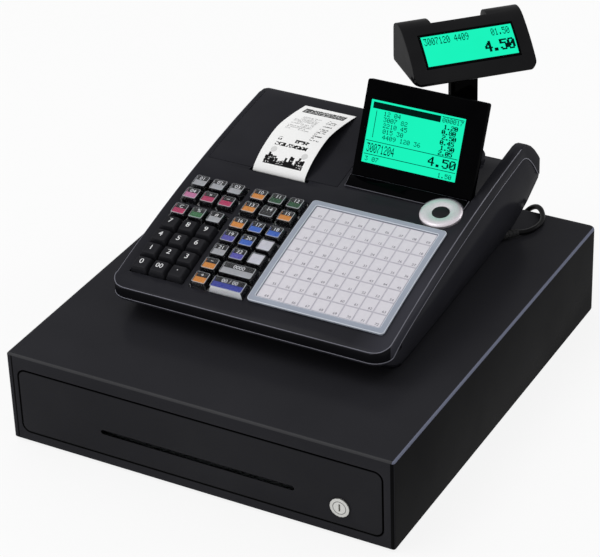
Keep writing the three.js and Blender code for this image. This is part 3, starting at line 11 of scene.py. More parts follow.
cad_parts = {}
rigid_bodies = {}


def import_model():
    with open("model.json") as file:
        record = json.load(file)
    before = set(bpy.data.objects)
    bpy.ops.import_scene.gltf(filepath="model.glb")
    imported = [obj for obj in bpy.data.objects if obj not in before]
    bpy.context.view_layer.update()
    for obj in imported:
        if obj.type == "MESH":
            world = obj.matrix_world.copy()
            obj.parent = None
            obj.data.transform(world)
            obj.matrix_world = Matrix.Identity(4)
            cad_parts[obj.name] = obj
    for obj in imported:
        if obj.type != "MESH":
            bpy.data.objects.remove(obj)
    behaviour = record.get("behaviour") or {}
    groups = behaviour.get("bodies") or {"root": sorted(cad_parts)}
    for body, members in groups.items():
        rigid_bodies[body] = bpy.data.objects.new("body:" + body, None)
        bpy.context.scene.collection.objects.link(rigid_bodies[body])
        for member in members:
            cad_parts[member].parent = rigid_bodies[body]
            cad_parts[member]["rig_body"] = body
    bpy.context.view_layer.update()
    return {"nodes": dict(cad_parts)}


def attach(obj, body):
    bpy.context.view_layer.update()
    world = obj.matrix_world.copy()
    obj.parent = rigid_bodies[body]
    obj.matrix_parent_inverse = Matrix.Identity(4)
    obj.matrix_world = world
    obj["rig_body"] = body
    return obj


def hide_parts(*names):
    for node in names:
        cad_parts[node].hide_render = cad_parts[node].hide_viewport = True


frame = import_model()
bpy.ops.object.select_all(action="DESELECT")


# Camera: a long lens from the front right and above, leaning two degrees. Its place was solved from
# the photograph, and its focal length is that of a picture 600 dots wide.
camera_turn, camera_rise, camera_lean = (math.radians(a) for a in (29.4276, 31.2047, -1.9661))
away = Vector((math.sin(camera_turn) * math.cos(camera_rise),
               -math.cos(camera_turn) * math.cos(camera_rise), math.sin(camera_rise)))
level = (-away).cross(Vector((0, 0, 1))).normalized()
upright = level.cross(-away)
camera_right = level * math.cos(camera_lean) + upright * math.sin(camera_lean)
camera_up = upright * math.cos(camera_lean) - level * math.sin(camera_lean)
camera_place = (1.005704, -1.820676, 1.360989)
bpy.ops.object.camera_add(location=camera_place)
camera = bpy.context.object
camera.rotation_mode = "QUATERNION"
camera.rotation_quaternion = Matrix((camera_right, camera_up, away)).transposed().to_quaternion()
camera.data.sensor_width = 36.0
focal_dots, picture_dots = 2470.4, 600
camera.data.lens = camera.data.sensor_width * focal_dots / picture_dots
bpy.context.scene.camera = camera
bpy.context.scene.view_settings.view_transform = "Standard"


# Mains lead: black round sheath, 5.5 mm thick, out of the heel of the housing, over the cabinet's
# top and down behind it. The spare length is wound in two layers on the floor, with the plug on it.
def worked_out(operation, turned=False):
    """A method of flows that adds a math node, fed in their order or, where turned, the other way."""
    return lambda *values: values[0].nodes.math(operation, *(reversed(values) if turned else values))


class Flow:
    """A number or colour on its way through nodes."""

    def __init__(self, nodes, socket):
        self.nodes = nodes
        self.socket = socket

    __add__ = __radd__ = worked_out("ADD")
    __sub__, __rsub__ = worked_out("SUBTRACT"), worked_out("SUBTRACT", turned=True)
    __mul__ = __rmul__ = worked_out("MULTIPLY")
    __truediv__ = worked_out("DIVIDE")
    __gt__, __lt__ = worked_out("GREATER_THAN"), worked_out("LESS_THAN")
    __abs__, part, whole = worked_out("ABSOLUTE"), worked_out("FRACT"), worked_out("FLOOR")


class Nodes:
    """A tree of nodes being filled, with the place that it is asked about and one way to add a node."""

    def __init__(self, tree, kind_of_place):
        self.tree = tree
        self.place = self.node("ShaderNodeTexCoord", {}, {}, kind_of_place)

    def node(self, kind, settings=None, sockets=(), output=0):
        made = self.tree.nodes.new(kind)
        for name, value in (settings or {}).items():
            setattr(made, name, value)
        for key, value in sockets.items() if isinstance(sockets, dict) else enumerate(sockets):
            self.join(value, made.inputs[key])
        return Flow(self, made.outputs[output])

    def join(self, value, socket):
        if isinstance(value, Flow):
            self.tree.links.new(value.socket, socket)
        else:
            socket.default_value = value

    def math(self, operation, *values):
        return self.node("ShaderNodeMath", {"operation": operation}, values)

    def coordinates(self):
        split = self.node("ShaderNodeSeparateXYZ", {}, {0: self.place}).socket.node
        return [Flow(self, output) for output in split.outputs]


class Finish(Nodes):
    """A material being mixed, with its shader."""

    def __init__(self, name, **sockets):
        self.material = bpy.data.materials.new(name)
        self.material.use_nodes = True
        super().__init__(self.material.node_tree, "Object")
        self.shader = self.tree.nodes["Principled BSDF"]
        for name, value in sockets.items():
            self.feed(name.replace("_", " "), value)

    def feed(self, socket, value):
        self.join(value, self.shader.inputs[socket])

    def speckle(self, scale, detail=2.0, stretch=(1, 1, 1)):
        """Soft noise from 0 to 1, about a metre divided by scale across."""
        place = self.node("ShaderNodeMapping", {}, {"Vector": self.place, "Scale": stretch})
        return self.node("ShaderNodeTexNoise", {}, {"Vector": place, "Scale": scale, "Detail": detail})

    def blend(self, share, first, second):
        """From the first colour at 0 to the second at 1."""
        return self.node("ShaderNodeMix", {"data_type": "RGBA"}, {0: share, 6: first, 7: second}, 2)

    def tint(self, share, first, second):
        """The finish's own colour, from one written colour to the other."""
        self.feed("Base Color", self.blend(share, paint(first), paint(second)))

    def relief(self, height, depth, strength=1.0):
        """Bumps of that depth in metres, from a height between 0 and 1."""
        self.feed("Normal", self.node("ShaderNodeBump", {},
                                      {"Strength": strength, "Distance": depth, "Height": height}))


def paint(code, share=1.0):
    """A colour as it is written on a screen, such as 2b2b2c, in the shader's linear light."""
    parts = [int(code[i:i + 2], 16) / 255 for i in (0, 2, 4)]
    linear = [p / 12.92 if p <= 0.04045 else ((p + 0.055) / 1.055) ** 2.4 for p in parts]
    return (*(share * p for p in linear), 1.0)


def clouded(name, first, second, scale, detail=2.0, low=None, span=0.0, stretch=(1, 1, 1), **sockets):
    """A finish whose colour, and roughness from low up by span, follow one noise, kept as its cloud."""
    finish = Finish(name, **sockets)
    finish.cloud = finish.speckle(scale, detail, stretch)
    finish.tint(finish.cloud, first, second)
    if low is not None:
        finish.feed("Roughness", low + span * finish.cloud)
    return finish


def placed(name, data):
    """A new piece in the scene with that mesh or curve."""
    piece = bpy.data.objects.new(name, data)
    bpy.context.scene.collection.objects.link(piece)
    return piece


def dress(piece, finish):
    """The piece takes this finish alone."""
    piece.data.materials.clear()
    piece.data.materials.append(finish.material)


def round_line(name, stations, radius, resolution):
    """A round line through the stations, as a curve."""
    line = bpy.data.curves.new(name, "CURVE")
    line.dimensions = "3D"
    line.bevel_depth = radius
    line.bevel_resolution = resolution
    spline = line.splines.new("POLY")
    spline.points.add(len(stations) - 1)
    for point, place in zip(spline.points, stations):
        point.co = (*place, 1.0)
    spline.use_smooth = True
    return placed(name, line)


def smooth_route(points, fineness):
    """Points along a centripetal Catmull-Rom curve through the given points."""
    def at(u, start, first, end, second):
        return first * ((end - u) / (end - start)) + second * ((u - start) / (end - start))

    points = [Vector(p) for p in points]
    ends = [points[0] * 2 - points[1]] + points + [points[-1] * 2 - points[-2]]
    route = []
    for i in range(1, len(ends) - 2):
        a, b, c, d = ends[i - 1:i + 3]
        t = [0.0]
        for p, q in ((a, b), (b, c), (c, d)):
            t.append(t[-1] + math.sqrt((q - p).length))
        steps = max(2, math.ceil((c - b).length / fineness))
        for k in range(steps):
            u = t[1] + (t[2] - t[1]) * k / steps
            middle = at(u, t[1], b, t[2], c)
            early = at(u, t[0], at(u, t[0], a, t[1], b), t[2], middle)
            late = at(u, t[1], middle, t[3], at(u, t[2], c, t[3], d))
            route.append(at(u, t[1], early, t[2], late))
    return route + [ends[-2]]


sheath = clouded("lead_sheath", "0a0a0b", "141416", 160, 3, Roughness=0.3, Specular_IOR_Level=0.04)
sheath.relief(sheath.speckle(900), 0.00008, 0.5)

lead_diameter = 0.0055
lead_clearance = 0.0003
lead_rest = lead_diameter / 2 + lead_clearance
drawer_top = 0.0992
origin_shift = -0.015346
cabinet_back = 0.230 + origin_shift
relief_back = Vector((0.130, 0.157 + origin_shift, drawer_top + 0.0078))
relief_aim = (Vector((0.141, 0.1755 + origin_shift, drawer_top + 0.0046)) - relief_back).normalized()
relief_length = 0.022
over_the_top = [(146.5, 182.5, 3.1), (151.2, 190, 3.1), (153.6, 198.5, 3.1), (153.8, 207, 3.1),
                (152, 215, 3.4), (148.5, 222.5, 3.8), (143.5, 229.5, 4.3), (137, 235.5, 2.8),
                (129, 239.5, -2.2), (121, 241, -11.2)]
down_behind = [(114, 10.5, 0.76), (108, 10.5, 0.61), (102, 10.5, 0.446), (95, 10.5, 0.29),
               (86, 10.5, 0.155), (75, 10.2, 0.056), (62, 9.4, 0.01), (46, 8.5, 0), (28, 8.2, 0),
               (10, 8.2, 0)]
coil_turns, coil_steps = 6.5, 24
coil_middle = Vector((-0.008, 0.281 + origin_shift, lead_rest))
coil_inner, coil_pitch = 0.023, 0.0061
coil_outer = coil_inner + coil_pitch * coil_turns / 2
coil_points = []
coil_half = coil_turns * coil_steps / 2
for step in range(int(coil_turns * coil_steps) + 1):
    angle = -math.pi / 2 - 2 * math.pi * step / coil_steps
    radius = coil_inner + (coil_outer - coil_inner) * min(abs(step - coil_half) / coil_half, 1)
    rise = min(max((step - coil_half + coil_steps / 2) / coil_steps, 0), 1)
    rise = rise * rise * (3 - 2 * rise)
    coil_points.append(coil_middle + Vector((radius * math.cos(angle), radius * math.sin(angle),
                                             rise * coil_pitch)))
plug_height = 0.014
plug_level = 2 * lead_rest + coil_pitch + plug_height / 2
to_plug = [(0.28, 0.98, 0.13), (0.7, 0.77, 0.5), (0.89, 0.37, 0.86), (0.8, -0.03, 1), (0.48, -0.23, 1),
           (0.36, -0.235, 1)]
lead_points = [relief_back + relief_aim * relief_length * share for share in (-0.25, 0, 0.5, 1)]
lead_points += [Vector((x / 1000, y / 1000 + origin_shift, drawer_top + z / 1000))
                for x, y, z in over_the_top]
lead_points += [Vector((x / 1000, cabinet_back + y / 1000, lead_rest + share * (drawer_top - lead_rest)))
                for x, y, share in down_behind]
coil_end = coil_points[-1].z
tail_points = [Vector((coil_middle.x + x * coil_outer, coil_middle.y + y * coil_outer,
                       coil_end + share * (plug_level - coil_end))) for x, y, share in to_plug]
lead_route = smooth_route(lead_points + coil_points + tail_points, 0.003)

lead = round_line("mains_lead", lead_route, lead_diameter / 2, 4)
dress(lead, sheath)
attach(lead, "register_base")
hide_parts("cord", "cord_coil")


# Feet: four turned rubber buttons, dull black and cloudy with dust. They are pushed up into the base
# pan and carry the whole unit.
def only(piece, *others):
    """Selects these pieces and no others, and makes the first one active."""
    bpy.ops.object.select_all(action="DESELECT")
    for chosen in (piece, *others):
        chosen.select_set(True)
    bpy.context.view_layer.objects.active = piece


def enter_mode(name):
    bpy.ops.object.mode_set(mode=name)


def finished_copy(node, name, finish, edge=0.0, steps=2, sharp=34.0, least=22.0, edge_light_and_shade=None,
                  shape=None, whole_faces=True):
    """A carried piece with its facets joined, its edges rounded by edge metres, and smooth light.
    Where a finish of painted light is given for the edges, the rounded edges take it, as a painted
    highlight where it is paler and painted shade where it is darker; shape changes the form before that.
    Without whole_faces, the flat faces keep the facets that they came with."""
    source = frame["nodes"][node]
    piece = placed(name, source.data.copy())
    dress(piece, finish)
    only(piece)
    enter_mode("EDIT")
    bpy.ops.mesh.select_all(action="SELECT")
    bpy.ops.mesh.remove_doubles(threshold=2e-6)
    if whole_faces:
        bpy.ops.mesh.dissolve_limited(angle_limit=math.radians(0.4))
    bpy.ops.mesh.select_all(action="DESELECT")
    enter_mode("OBJECT")
    if shape:
        shape(piece)
    if edge:
        rounding = piece.modifiers.new("edges", "BEVEL")
        rounding.width = edge
        rounding.segments = steps
        rounding.limit_method = "ANGLE"
        rounding.angle_limit = math.radians(least)
        rounding.miter_outer = "MITER_ARC"
        # The rounded edges take the given finish of painted light.
        if edge_light_and_shade:
            piece.data.materials.append(edge_light_and_shade.material)
            rounding.material = len(piece.data.materials) - 1
        bpy.ops.object.modifier_apply(modifier="edges")
    bpy.ops.object.shade_smooth_by_angle(angle=math.radians(sharp))
    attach(piece, source["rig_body"])
    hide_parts(node)
    return piece


def rubber(name, colour, dust):
    finish = clouded(name, colour, dust, 90, 4, 0.7, 0.2, Specular_IOR_Level=0.3)
    finish.relief(finish.speckle(2500), 0.00004, 0.6)
    return finish


foot_rubber = rubber("foot_rubber", "121213", "1f1f20")
for corner in ("front_left", "front_right", "rear_left", "rear_right"):
    finished_copy(f"foot_{corner}", f"rubber_foot_{corner}", foot_rubber, 0.0004)


# Base pan and its two runners: zinc-plated sheet steel with cloudy crystals and fine rolling lines,
# folded up at the edges and spot-welded.
zinc_grey = "9a9ea3"
zinc = Finish("zinc_plate", Metallic=0.85)
crystals = zinc.speckle(70, 5)
rolling = zinc.speckle(600, 2, (0.05, 1, 1))
zinc.feed("Base Color", zinc.blend(crystals, paint(zinc_grey), paint(zinc_grey, 0.62)))
zinc.feed("Roughness", 0.32 + 0.14 * crystals + 0.08 * rolling)
zinc.relief(rolling, 0.00003, 0.3)
finished_copy("cabinet_base", "base_pan", zinc, 0.00035)


# Cabinet: a black powder-coated steel cover folded round the top, sides and back, open in front
# for the drawer. The coat has a fine orange-peel grain; a painted highlight runs paler along the folds,
# and the right side takes a painted shade.
gap_half_x, gap_half_z, gap_middle_z, gap_radius = 0.1850, 0.0265, 0.0485, 0.0085
gap_shadow, shadow_depth = 0.0011, -0.2430
front_seams = [(-0.1994, 0.0008, -0.2449), (0.2028, 0.0016, -0.2425)]
cheque_half_x, cheque_half_z, cheque_z, panel_face = 0.1039, 0.0028, 0.039, -0.2450


def between(value, low, high):
    return (value > low) * (value < high)


def squared(across, up):
    """The square of a distance, from its two shares."""
    return across * across + up * up


def powder_coat(name, colour, paler_tone, slot_in_shade=False, sides=None, beyond=0.2028, seams=()):
    """The cabinet's black. The rolled edges on both sides of the gap round the drawer's panel take a
    painted shade for the shadow in the gap, and so does each seam, given by its place across, half its
    width and its depth. Inside the cheque slot the cut edges take a painted shade, and the sides beyond a
    distance may take their own colour of painted light: painted shade on the cabinet's black, a painted
    highlight on its folds."""
    finish = Finish(name, Specular_IOR_Level=0.0, Coat_Roughness=0.24)
    grain = finish.speckle(1100, 2)
    cloud = finish.speckle(14, 4)
    coat = finish.blend(cloud * 0.5 + grain * 0.5, paint(colour), paint(paler_tone))
    x, y, z = finish.coordinates()
    # Painted shade: the gap round the drawer's panel and each seam are painted near black.
    reach = squared(finish.math("MAXIMUM", abs(x) - gap_half_x, 0.0),
                    finish.math("MAXIMUM", abs(z - gap_middle_z) - gap_half_z, 0.0))
    shaded = between(reach, (gap_radius - gap_shadow) ** 2, (gap_radius + gap_shadow) ** 2)
    shaded = shaded * (y < shadow_depth)
    for seam, half, depth in seams:
        shaded = shaded + (abs(x - seam) < half) * (y < depth)
    coat = finish.blend(shaded, coat, paint("050506"))
    # Painted shade on the cut edges inside the cheque slot.
    if slot_in_shade:
        slot_shade = (abs(x) < cheque_half_x) * (abs(z - cheque_z) < cheque_half_z) * (y > panel_face)
        coat = finish.blend(slot_shade, coat, paint("040404"))
    # The sides beyond take painted light: painted shade on the cabinet's black, a painted highlight on its
    # folds.
    if sides:
        coat = finish.blend(x > beyond, coat, paint(sides))
    finish.feed("Base Color", coat)
    finish.feed("Roughness", 0.4 + 0.12 * cloud + 0.1 * grain)
    finish.feed("Coat Weight", 0.05 + 0.05 * cloud)
    finish.relief(grain, 0.00012, 0.35)
    return finish


# The cabinet's right side takes a painted shade.
black_coat = powder_coat("black_powder_coat", "242427", "2d2d31", sides="131314", beyond=0.2047,
                         seams=front_seams)
# A painted highlight for the folds, paler and bluer on the right side.
fold_highlight_coat = powder_coat("fold_highlight_powder_coat", "38383a", "454547", sides="6c7082")


def repaint(piece, finish, test):
    """The faces that pass the test take one more finish."""
    piece.data.materials.append(finish.material)
    for face in piece.data.polygons:
        if test(face):
            face.material_index = len(piece.data.materials) - 1


def pale_folds(cabinet):
    """The rounded folds along the cabinet's top take a painted highlight."""
    repaint(cabinet, fold_highlight_coat, lambda face: (0.25 < face.normal.z < 0.97
                                                and abs(face.normal.x) + abs(face.normal.y) > 0.25))


finished_copy("cabinet_shell", "steel_cabinet", black_coat, 0.0005, least=30.0,
              shape=pale_folds)


# Drawer tray: a folded box of zinc-plated steel on the two runners. A ledge along each side carries
# the insert.
finished_copy("drawer_tray", "steel_tray", zinc, 0.00035)


# Drawer front: a folded steel panel in the cabinet's black coat, with the long slot for cheques and
# a round hole for the lock. Its rolled edges lie in the shadow of the gap round it.
panel_coat = powder_coat("panel_powder_coat", "222225", "2c2c2f", slot_in_shade=True)
rolled_edge = powder_coat("rolled_edge_coat", "0c0c0d", "101011", slot_in_shade=True)
finished_copy("drawer_front", "drawer_panel", panel_coat, 0.0013, 4, edge_light_and_shade=rolled_edge)


# Lock: a turned, nickel-plated barrel with a brushed face and a keyway, held by a nut behind the
# panel. A groove, painted dark as a painted shade, parts the turning core from its collar.
lock_x, lock_z, lock_face = 0.1505, 0.0340, -0.2455
core_radius, groove_radius = 0.0062, 0.0069
lock_nickel = Finish("turned_lock_nickel", Metallic=0.75)
x, y, z = lock_nickel.coordinates()
reach = squared(x - lock_x, z - lock_z)
# Painted shade: a dark ring in the groove round the core.
groove_shade = between(reach, core_radius ** 2, groove_radius ** 2) * (y < lock_face)
core = (reach < core_radius ** 2) * (y < lock_face)
brushed = lock_nickel.speckle(1800, 3)
face_colour = lock_nickel.blend(core, paint("d8d8d4"), paint("dededa"))
face_colour = lock_nickel.blend(groove_shade, face_colour, paint("4c4c4e"))
lock_nickel.feed("Base Color", lock_nickel.blend(brushed * 0.35, face_colour, paint("8e8e8c")))
lock_nickel.feed("Roughness", 0.24 + 0.16 * brushed)
finished_copy("lock_cylinder", "lock_barrel", lock_nickel, 0.0005)


# Till insert: one black moulding with eight scooped coin cups and four note bays. It lies loose on
# the tray's ledges, and its skin is spark-eroded like that of all the plastic here.
def moulded(name, colour, pale, rough=0.45, grain_depth=0.00006, coat=0.14, paler_tone=None):
    """Moulded plastic with a spark-eroded skin, slightly cloudy from handling. Where a painted highlight
    is given, its colour comes on to the right of one place and in front of another."""
    finish = Finish(name, Specular_IOR_Level=0.0, Coat_Roughness=0.2)
    grain = finish.speckle(1700, 1)
    cloud = finish.speckle(22, 4)
    skin = finish.blend(cloud, paint(colour), paint(pale))
    # Painted highlight: paler to the right of one place and in front of another.
    if paler_tone:
        x, y, z = finish.coordinates()
        lit_colour, lit_x, lit_y = paler_tone
        gain_right, gain_front = 30, 10
        to_right, to_front = (finish.math("MINIMUM", finish.math("MAXIMUM", way, 0.0), 1.0)
                              for way in ((x - lit_x) * gain_right, (lit_y - y) * gain_front))
        skin = finish.blend(to_right * to_front, skin, paint(lit_colour))
    finish.feed("Base Color", skin)
    finish.feed("Roughness", rough + 0.1 * cloud + 0.06 * grain)
    finish.feed("Coat Weight", coat * (0.8 + 0.2 * cloud))
    finish.relief(grain, grain_depth, 0.4)
    return finish


till_plastic = moulded("till_plastic", "19191b", "242427", 0.5)
finished_copy("till_insert", "till_moulding", till_plastic, 0.0006, whole_faces=False)


# Note clips: four arms of grey plastic on pins at the back of the note bays. Each is pressed down on
# the notes by a small spring.
clip_plastic = moulded("clip_plastic", "35373b", "43454a", 0.4)
for number in range(1, 5):
    finished_copy(f"bill_clip_{number}", f"note_clip_{number}", clip_plastic, 0.0004)


# Latch and kick-out spring behind the drawer: a hook of zinc-plated steel that swings on a pin, and a
# coil of bright drawn wire that pushes the tray out.
finished_copy("latch_hook", "plated_hook", zinc, 0.0003)
wire = clouded("spring_wire", "b4b5b8", "77797c", 500, 3, 0.22, 0.2, Metallic=1.0)
finished_copy("kick_spring", "kick_out_spring", wire, sharp=80)


# Lower case of the register: a tub of charcoal plastic with leaning sides, standing on the
# cabinet's top. Its edges are painted paler, a painted highlight.
charcoal = moulded("charcoal_plastic", "202024", "29292e", 0.4, coat=0.1)
edge_highlight_charcoal = moulded("edge_highlight_charcoal", "54545c", "64646c", 0.35, coat=0.3)
finished_copy("lower_case", "lower_housing", charcoal, 0.0007, sharp=30, least=30,
              edge_light_and_shade=edge_highlight_charcoal)


# Upper case: the curved deck of charcoal plastic with its wells for keys, displays and printer. Its
# skirt stands all round. Its edges and its right side in front are painted paler, a painted highlight.
deck_charcoal = moulded("deck_charcoal", "202024", "29292e", 0.4, coat=0.1, paler_tone=("38383f", 0.11, 0.03))
skirt_charcoal = moulded("skirt_charcoal", "101012", "18181b", 0.4, coat=0.08)


def dark_skirt(housing):
    """The upright front of the skirt, in the shade of the deck's edge, takes a darker charcoal."""
    repaint(housing, skirt_charcoal, lambda face: face.normal.z < 0.4 and face.normal.y < -0.25)


finished_copy("upper_case", "upper_housing", deck_charcoal, 0.0006, sharp=32, least=30,
              edge_light_and_shade=edge_highlight_charcoal, shape=dark_skirt)


# Beads: two raised lines are moulded round the upper case, one along the deck's outer edge and one
# along the skirt's lower edge. Both are painted paler than the faces, a painted highlight where they catch
# the light.
arc_radius = 1.520
arc_slope = math.radians(13.22)
arc_middle_y = origin_shift + arc_radius * math.sin(arc_slope)
arc_middle_z = drawer_top + 0.0763 - arc_radius * math.cos(arc_slope)
housing_half, housing_front, housing_corner = 0.1483, origin_shift - 0.1345, 0.018
# A painted highlight for the beads.
bead_highlight = moulded("bead_highlight", "6e6e78", "7e7e88", 0.3, coat=0.4)


def on_deck(x, along, lift=0.0):
    """Where a point of the curved deck is, and how it leans, from its distance along the arc."""
    slope = arc_slope - along / arc_radius
    return (Matrix.Translation((x, arc_middle_y - (arc_radius + lift) * math.sin(slope),
                                arc_middle_z + (arc_radius + lift) * math.cos(slope)))
            @ Matrix.Rotation(slope, 4, "X"))


def deck_height(y):
    return arc_middle_z + math.sqrt(arc_radius ** 2 - (y - arc_middle_y) ** 2)


def bead(name, half_path, radius):
    """A round bead along a path from the rear right to the front's middle, and on round the left."""
    line = round_line(name, half_path + [(-x, y, z) for x, y, z in reversed(half_path)], radius, 2)
    line.data.use_fill_caps = True
    only(line)
    bpy.ops.object.convert(target="MESH")
    piece = bpy.context.object
    bpy.ops.object.shade_smooth()
    dress(piece, bead_highlight)
    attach(piece, "register_base")


def round_corner(height, sink):
    """The path round the front right corner; sink(turn) is how far it lies inside both faces."""
    corner = []
    for turn in range(0, 91, 10):
        angle, inside = math.radians(turn), sink(turn)
        y = housing_front + housing_corner - (housing_corner - inside) * math.sin(angle)
        x = housing_half - housing_corner + (housing_corner - inside) * math.cos(angle)
        corner.append((x, y, height(y) - inside))
    return corner


bead_sink, path_start, edge_step, lip_reach = 0.0009, 0.170, 0.0291, 0.003
edge_path = [tuple(on_deck(housing_half - bead_sink, path_start - edge_step * n, -bead_sink).translation)
             for n in range(10)]
edge_path += round_corner(lambda y: deck_height(max(y, housing_front + lip_reach)),
                          lambda turn: 0.0002 + 0.0007 * max(0, (turn - 60) / 30, (12 - turn) / 12))
bead("deck_edge_bead", edge_path + [(0, housing_front + bead_sink, edge_path[-1][2])], 0.00045)

skirt_depth, skirt_sink, skirt_step, lip_thickness = 0.0137, 0.0002, 0.0213, 0.0119
skirt_half = housing_half - skirt_sink
lip_bottom = deck_height(housing_front + lip_reach) - lip_thickness
knee = [(0.20949, 0.05725), (0.18394, 0.09373), (0.16965, 0.09203)]
skirt_path = []
for n in range(7):
    t = n / 7
    y, z = ((1 - t) ** 2 * knee[0][i] + 2 * t * (1 - t) * knee[1][i] + t * t * knee[2][i] for i in (0, 1))
    skirt_path.append((skirt_half, y + origin_shift, z + drawer_top))
skirt_path += [tuple(on_deck(skirt_half, path_start - skirt_step * n, -skirt_depth).translation)
               for n in range(14)]
skirt_path += round_corner(lambda y: lip_bottom + skirt_sink, lambda turn: skirt_sink)
bead("skirt_edge_bead", skirt_path + [(0, housing_front + skirt_sink, lip_bottom)], 0.0005)


# Main board: a glass-fibre board with green lacquer over its copper tracks, screwed to the posts of
# the lower case.
board_lacquer = Finish("board_lacquer", Roughness=0.35)
x, y, z = board_lacquer.coordinates()
tracks = (x * 400 + board_lacquer.speckle(40) * 3).part() > 0.8
board_lacquer.tint(tracks, "1c5634", "3a7f4d")
finished_copy("main_board", "circuit_board", board_lacquer)


# Keyboard mat: a black moulding under the deck that guides the stems of the keys. It is seen between
# the keys.
key_across, key_along = 0.0199, 0.0192
key_width, key_length, key_height, key_foot = 0.0182, 0.0176, 0.0060, -0.0025
key_columns = [-0.1265 + key_across * n + (0.0062 if n > 2 else 0) for n in range(6)]
key_rows = [-0.1084 + key_along * n + (0.0044 if n > 4 else 0) for n in range(7)]


def choose(piece, kind, test):
    """In edit mode, selects the faces or edges that pass the test, and nothing else."""
    bpy.context.tool_settings.mesh_select_mode = (False, kind == "edges", kind == "faces")
    form = bmesh.from_edit_mesh(piece.data)
    for face in form.faces:
        face.select_set(False)
    for edge in form.edges:
        edge.select_set(False)
    for item in getattr(form, kind):
        item.select_set(bool(test(item)))
    bmesh.update_edit_mesh(piece.data)


def start_block(name, low, high):
    """A cube between two corners, in edit mode."""
    bpy.ops.object.select_all(action="DESELECT")
    bpy.ops.mesh.primitive_cube_add(size=1, location=[(a + b) / 2 for a, b in zip(low, high)],
                                    scale=[b - a for a, b in zip(low, high)])
    block = bpy.context.object
    block.name = name
    bpy.ops.object.transform_apply(location=True, rotation=False, scale=True)
    enter_mode("EDIT")
    return block


def finish_block(block, finish, angle=35):
    enter_mode("OBJECT")
    bpy.ops.object.shade_smooth_by_angle(angle=math.radians(angle))
    dress(block, finish)
    return block


def flat_grid(name, across, along):
    """A grid of a metre by a metre, to be laid on its place."""
    bpy.ops.object.select_all(action="DESELECT")
    bpy.ops.mesh.primitive_grid_add(x_subdivisions=across, y_subdivisions=along, size=1)
    grid = bpy.context.object
    grid.name = name
    return grid


def give_wall(piece, thickness):
    wall = piece.modifiers.new("wall", "SOLIDIFY")
    wall.thickness = thickness
    wall.offset = -1
    bpy.ops.object.modifier_apply(modifier="wall")


mat_plastic = moulded("mat_plastic", "0d0d0f", "151517", 0.55)
mat_edge, mat_lift = 0.0035, -0.0065
mat_left, mat_right = key_columns[0] - key_width / 2 - mat_edge, key_columns[5] + key_width / 2 + mat_edge
mat_low, mat_high = key_rows[0] - key_length / 2 - mat_edge, key_rows[6] + key_length / 2 + mat_edge
mat = flat_grid("keyboard_mat", 1, 24)
for vertex in mat.data.vertices:
    along = mat_low + (vertex.co.y + 0.5) * (mat_high - mat_low)
    vertex.co = on_deck(mat_left if vertex.co.x < 0 else mat_right, along, mat_lift).translation
give_wall(mat, 0.003)
dress(mat, mat_plastic)
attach(mat, "register_base")
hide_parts("key_mat")


# Number keys: black moulded caps with a shallow dish on top and a white figure printed in it. Each is
# pushed onto its stem.
cap_plastic = moulded("number_cap_plastic", "1c1c1f", "242428", 0.42, 0.00003)
white_ink = clouded("white_ink", "d8d8da", "f2f2f4", 1500, Roughness=0.5)
key_taper = 0.0021
figure_size, pair_size, figure_place = 0.0088, 0.0078, (-0.0006, 0.0012, key_height - 0.00035)


def key_form(name, width, inset, top, taper, corner):
    """A key's block in its own frame: straight skirt, leaning sides, rounded corners."""
    half, reach, shoulder = width / 2 - inset, key_length / 2 - inset, 0.00125
    block = start_block(name, (-half, -reach, key_foot), (half, reach, shoulder))
    choose(block, "faces", lambda face: face.normal.z > 0.9)
    bpy.ops.mesh.extrude_region_move(TRANSFORM_OT_translate={"value": (0, 0, top - shoulder)})
    bpy.ops.transform.resize(value=(1 - taper / half, 1 - taper / reach, 1))
    choose(block, "edges", lambda edge: abs((edge.verts[0].co - edge.verts[1].co).z) > 0.001)
    bpy.ops.mesh.bevel(offset=corner, segments=3, affect="EDGES")
    return block


def round_top(edge):
    """Whether an edge lies round the top of a key's block."""
    return all(abs(vertex.co.z - key_height) < 1e-5 for vertex in edge.verts)


def figure(text, size, finish, place, thickness=0.00005):
    """A flat printed figure, centred on its place."""
    bpy.ops.object.select_all(action="DESELECT")
    bpy.ops.object.text_add()
    sign = bpy.context.object
    sign.data.body = text
    sign.data.align_x = "CENTER"
    sign.data.align_y = "CENTER"
    sign.data.size = size
    sign.data.extrude = thickness
    sign.data.resolution_u = 3
    bpy.ops.object.convert(target="MESH")
    sign = bpy.context.object
    sign.data.transform(place)
    dress(sign, finish)
    return sign


def joined(main, *others):
    only(main, *others)
    bpy.ops.object.join()
    return main


number_model = key_form("number_key_model", key_width, 0, key_height, key_taper, 0.0016)
choose(number_model, "edges", round_top)
bpy.ops.mesh.bevel(offset=0.0005, segments=3, affect="EDGES")
choose(number_model, "faces", lambda face: face.normal.z > 0.99 and face.calc_center_median().z > 0.005)
bpy.ops.mesh.inset(thickness=0.0004)
bpy.ops.mesh.inset(thickness=0.0006, depth=-0.0002)
bpy.ops.mesh.extrude_region_move(TRANSFORM_OT_translate={"value": (0, 0, -0.0002)})
bpy.ops.transform.resize(value=(0.6, 0.6, 1))
finish_block(number_model, cap_plastic, angle=42)

figures = {"key_0": "0", "key_00": "00", "key_point": "·"}
figures.update({f"key_{number}": str(number) for number in range(1, 10)})
for order, (node, text) in enumerate(figures.items()):
    place = on_deck(key_columns[order % 3], key_rows[order // 3])
    cap = placed(f"number_{node}", number_model.data.copy())
    cap.data.transform(place)
    ink = figure(text, figure_size if len(text) == 1 else pair_size, white_ink,
                 place @ Matrix.Translation(figure_place))
    cap = joined(cap, ink)
    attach(cap, node)
    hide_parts(node)
bpy.data.objects.remove(number_model)


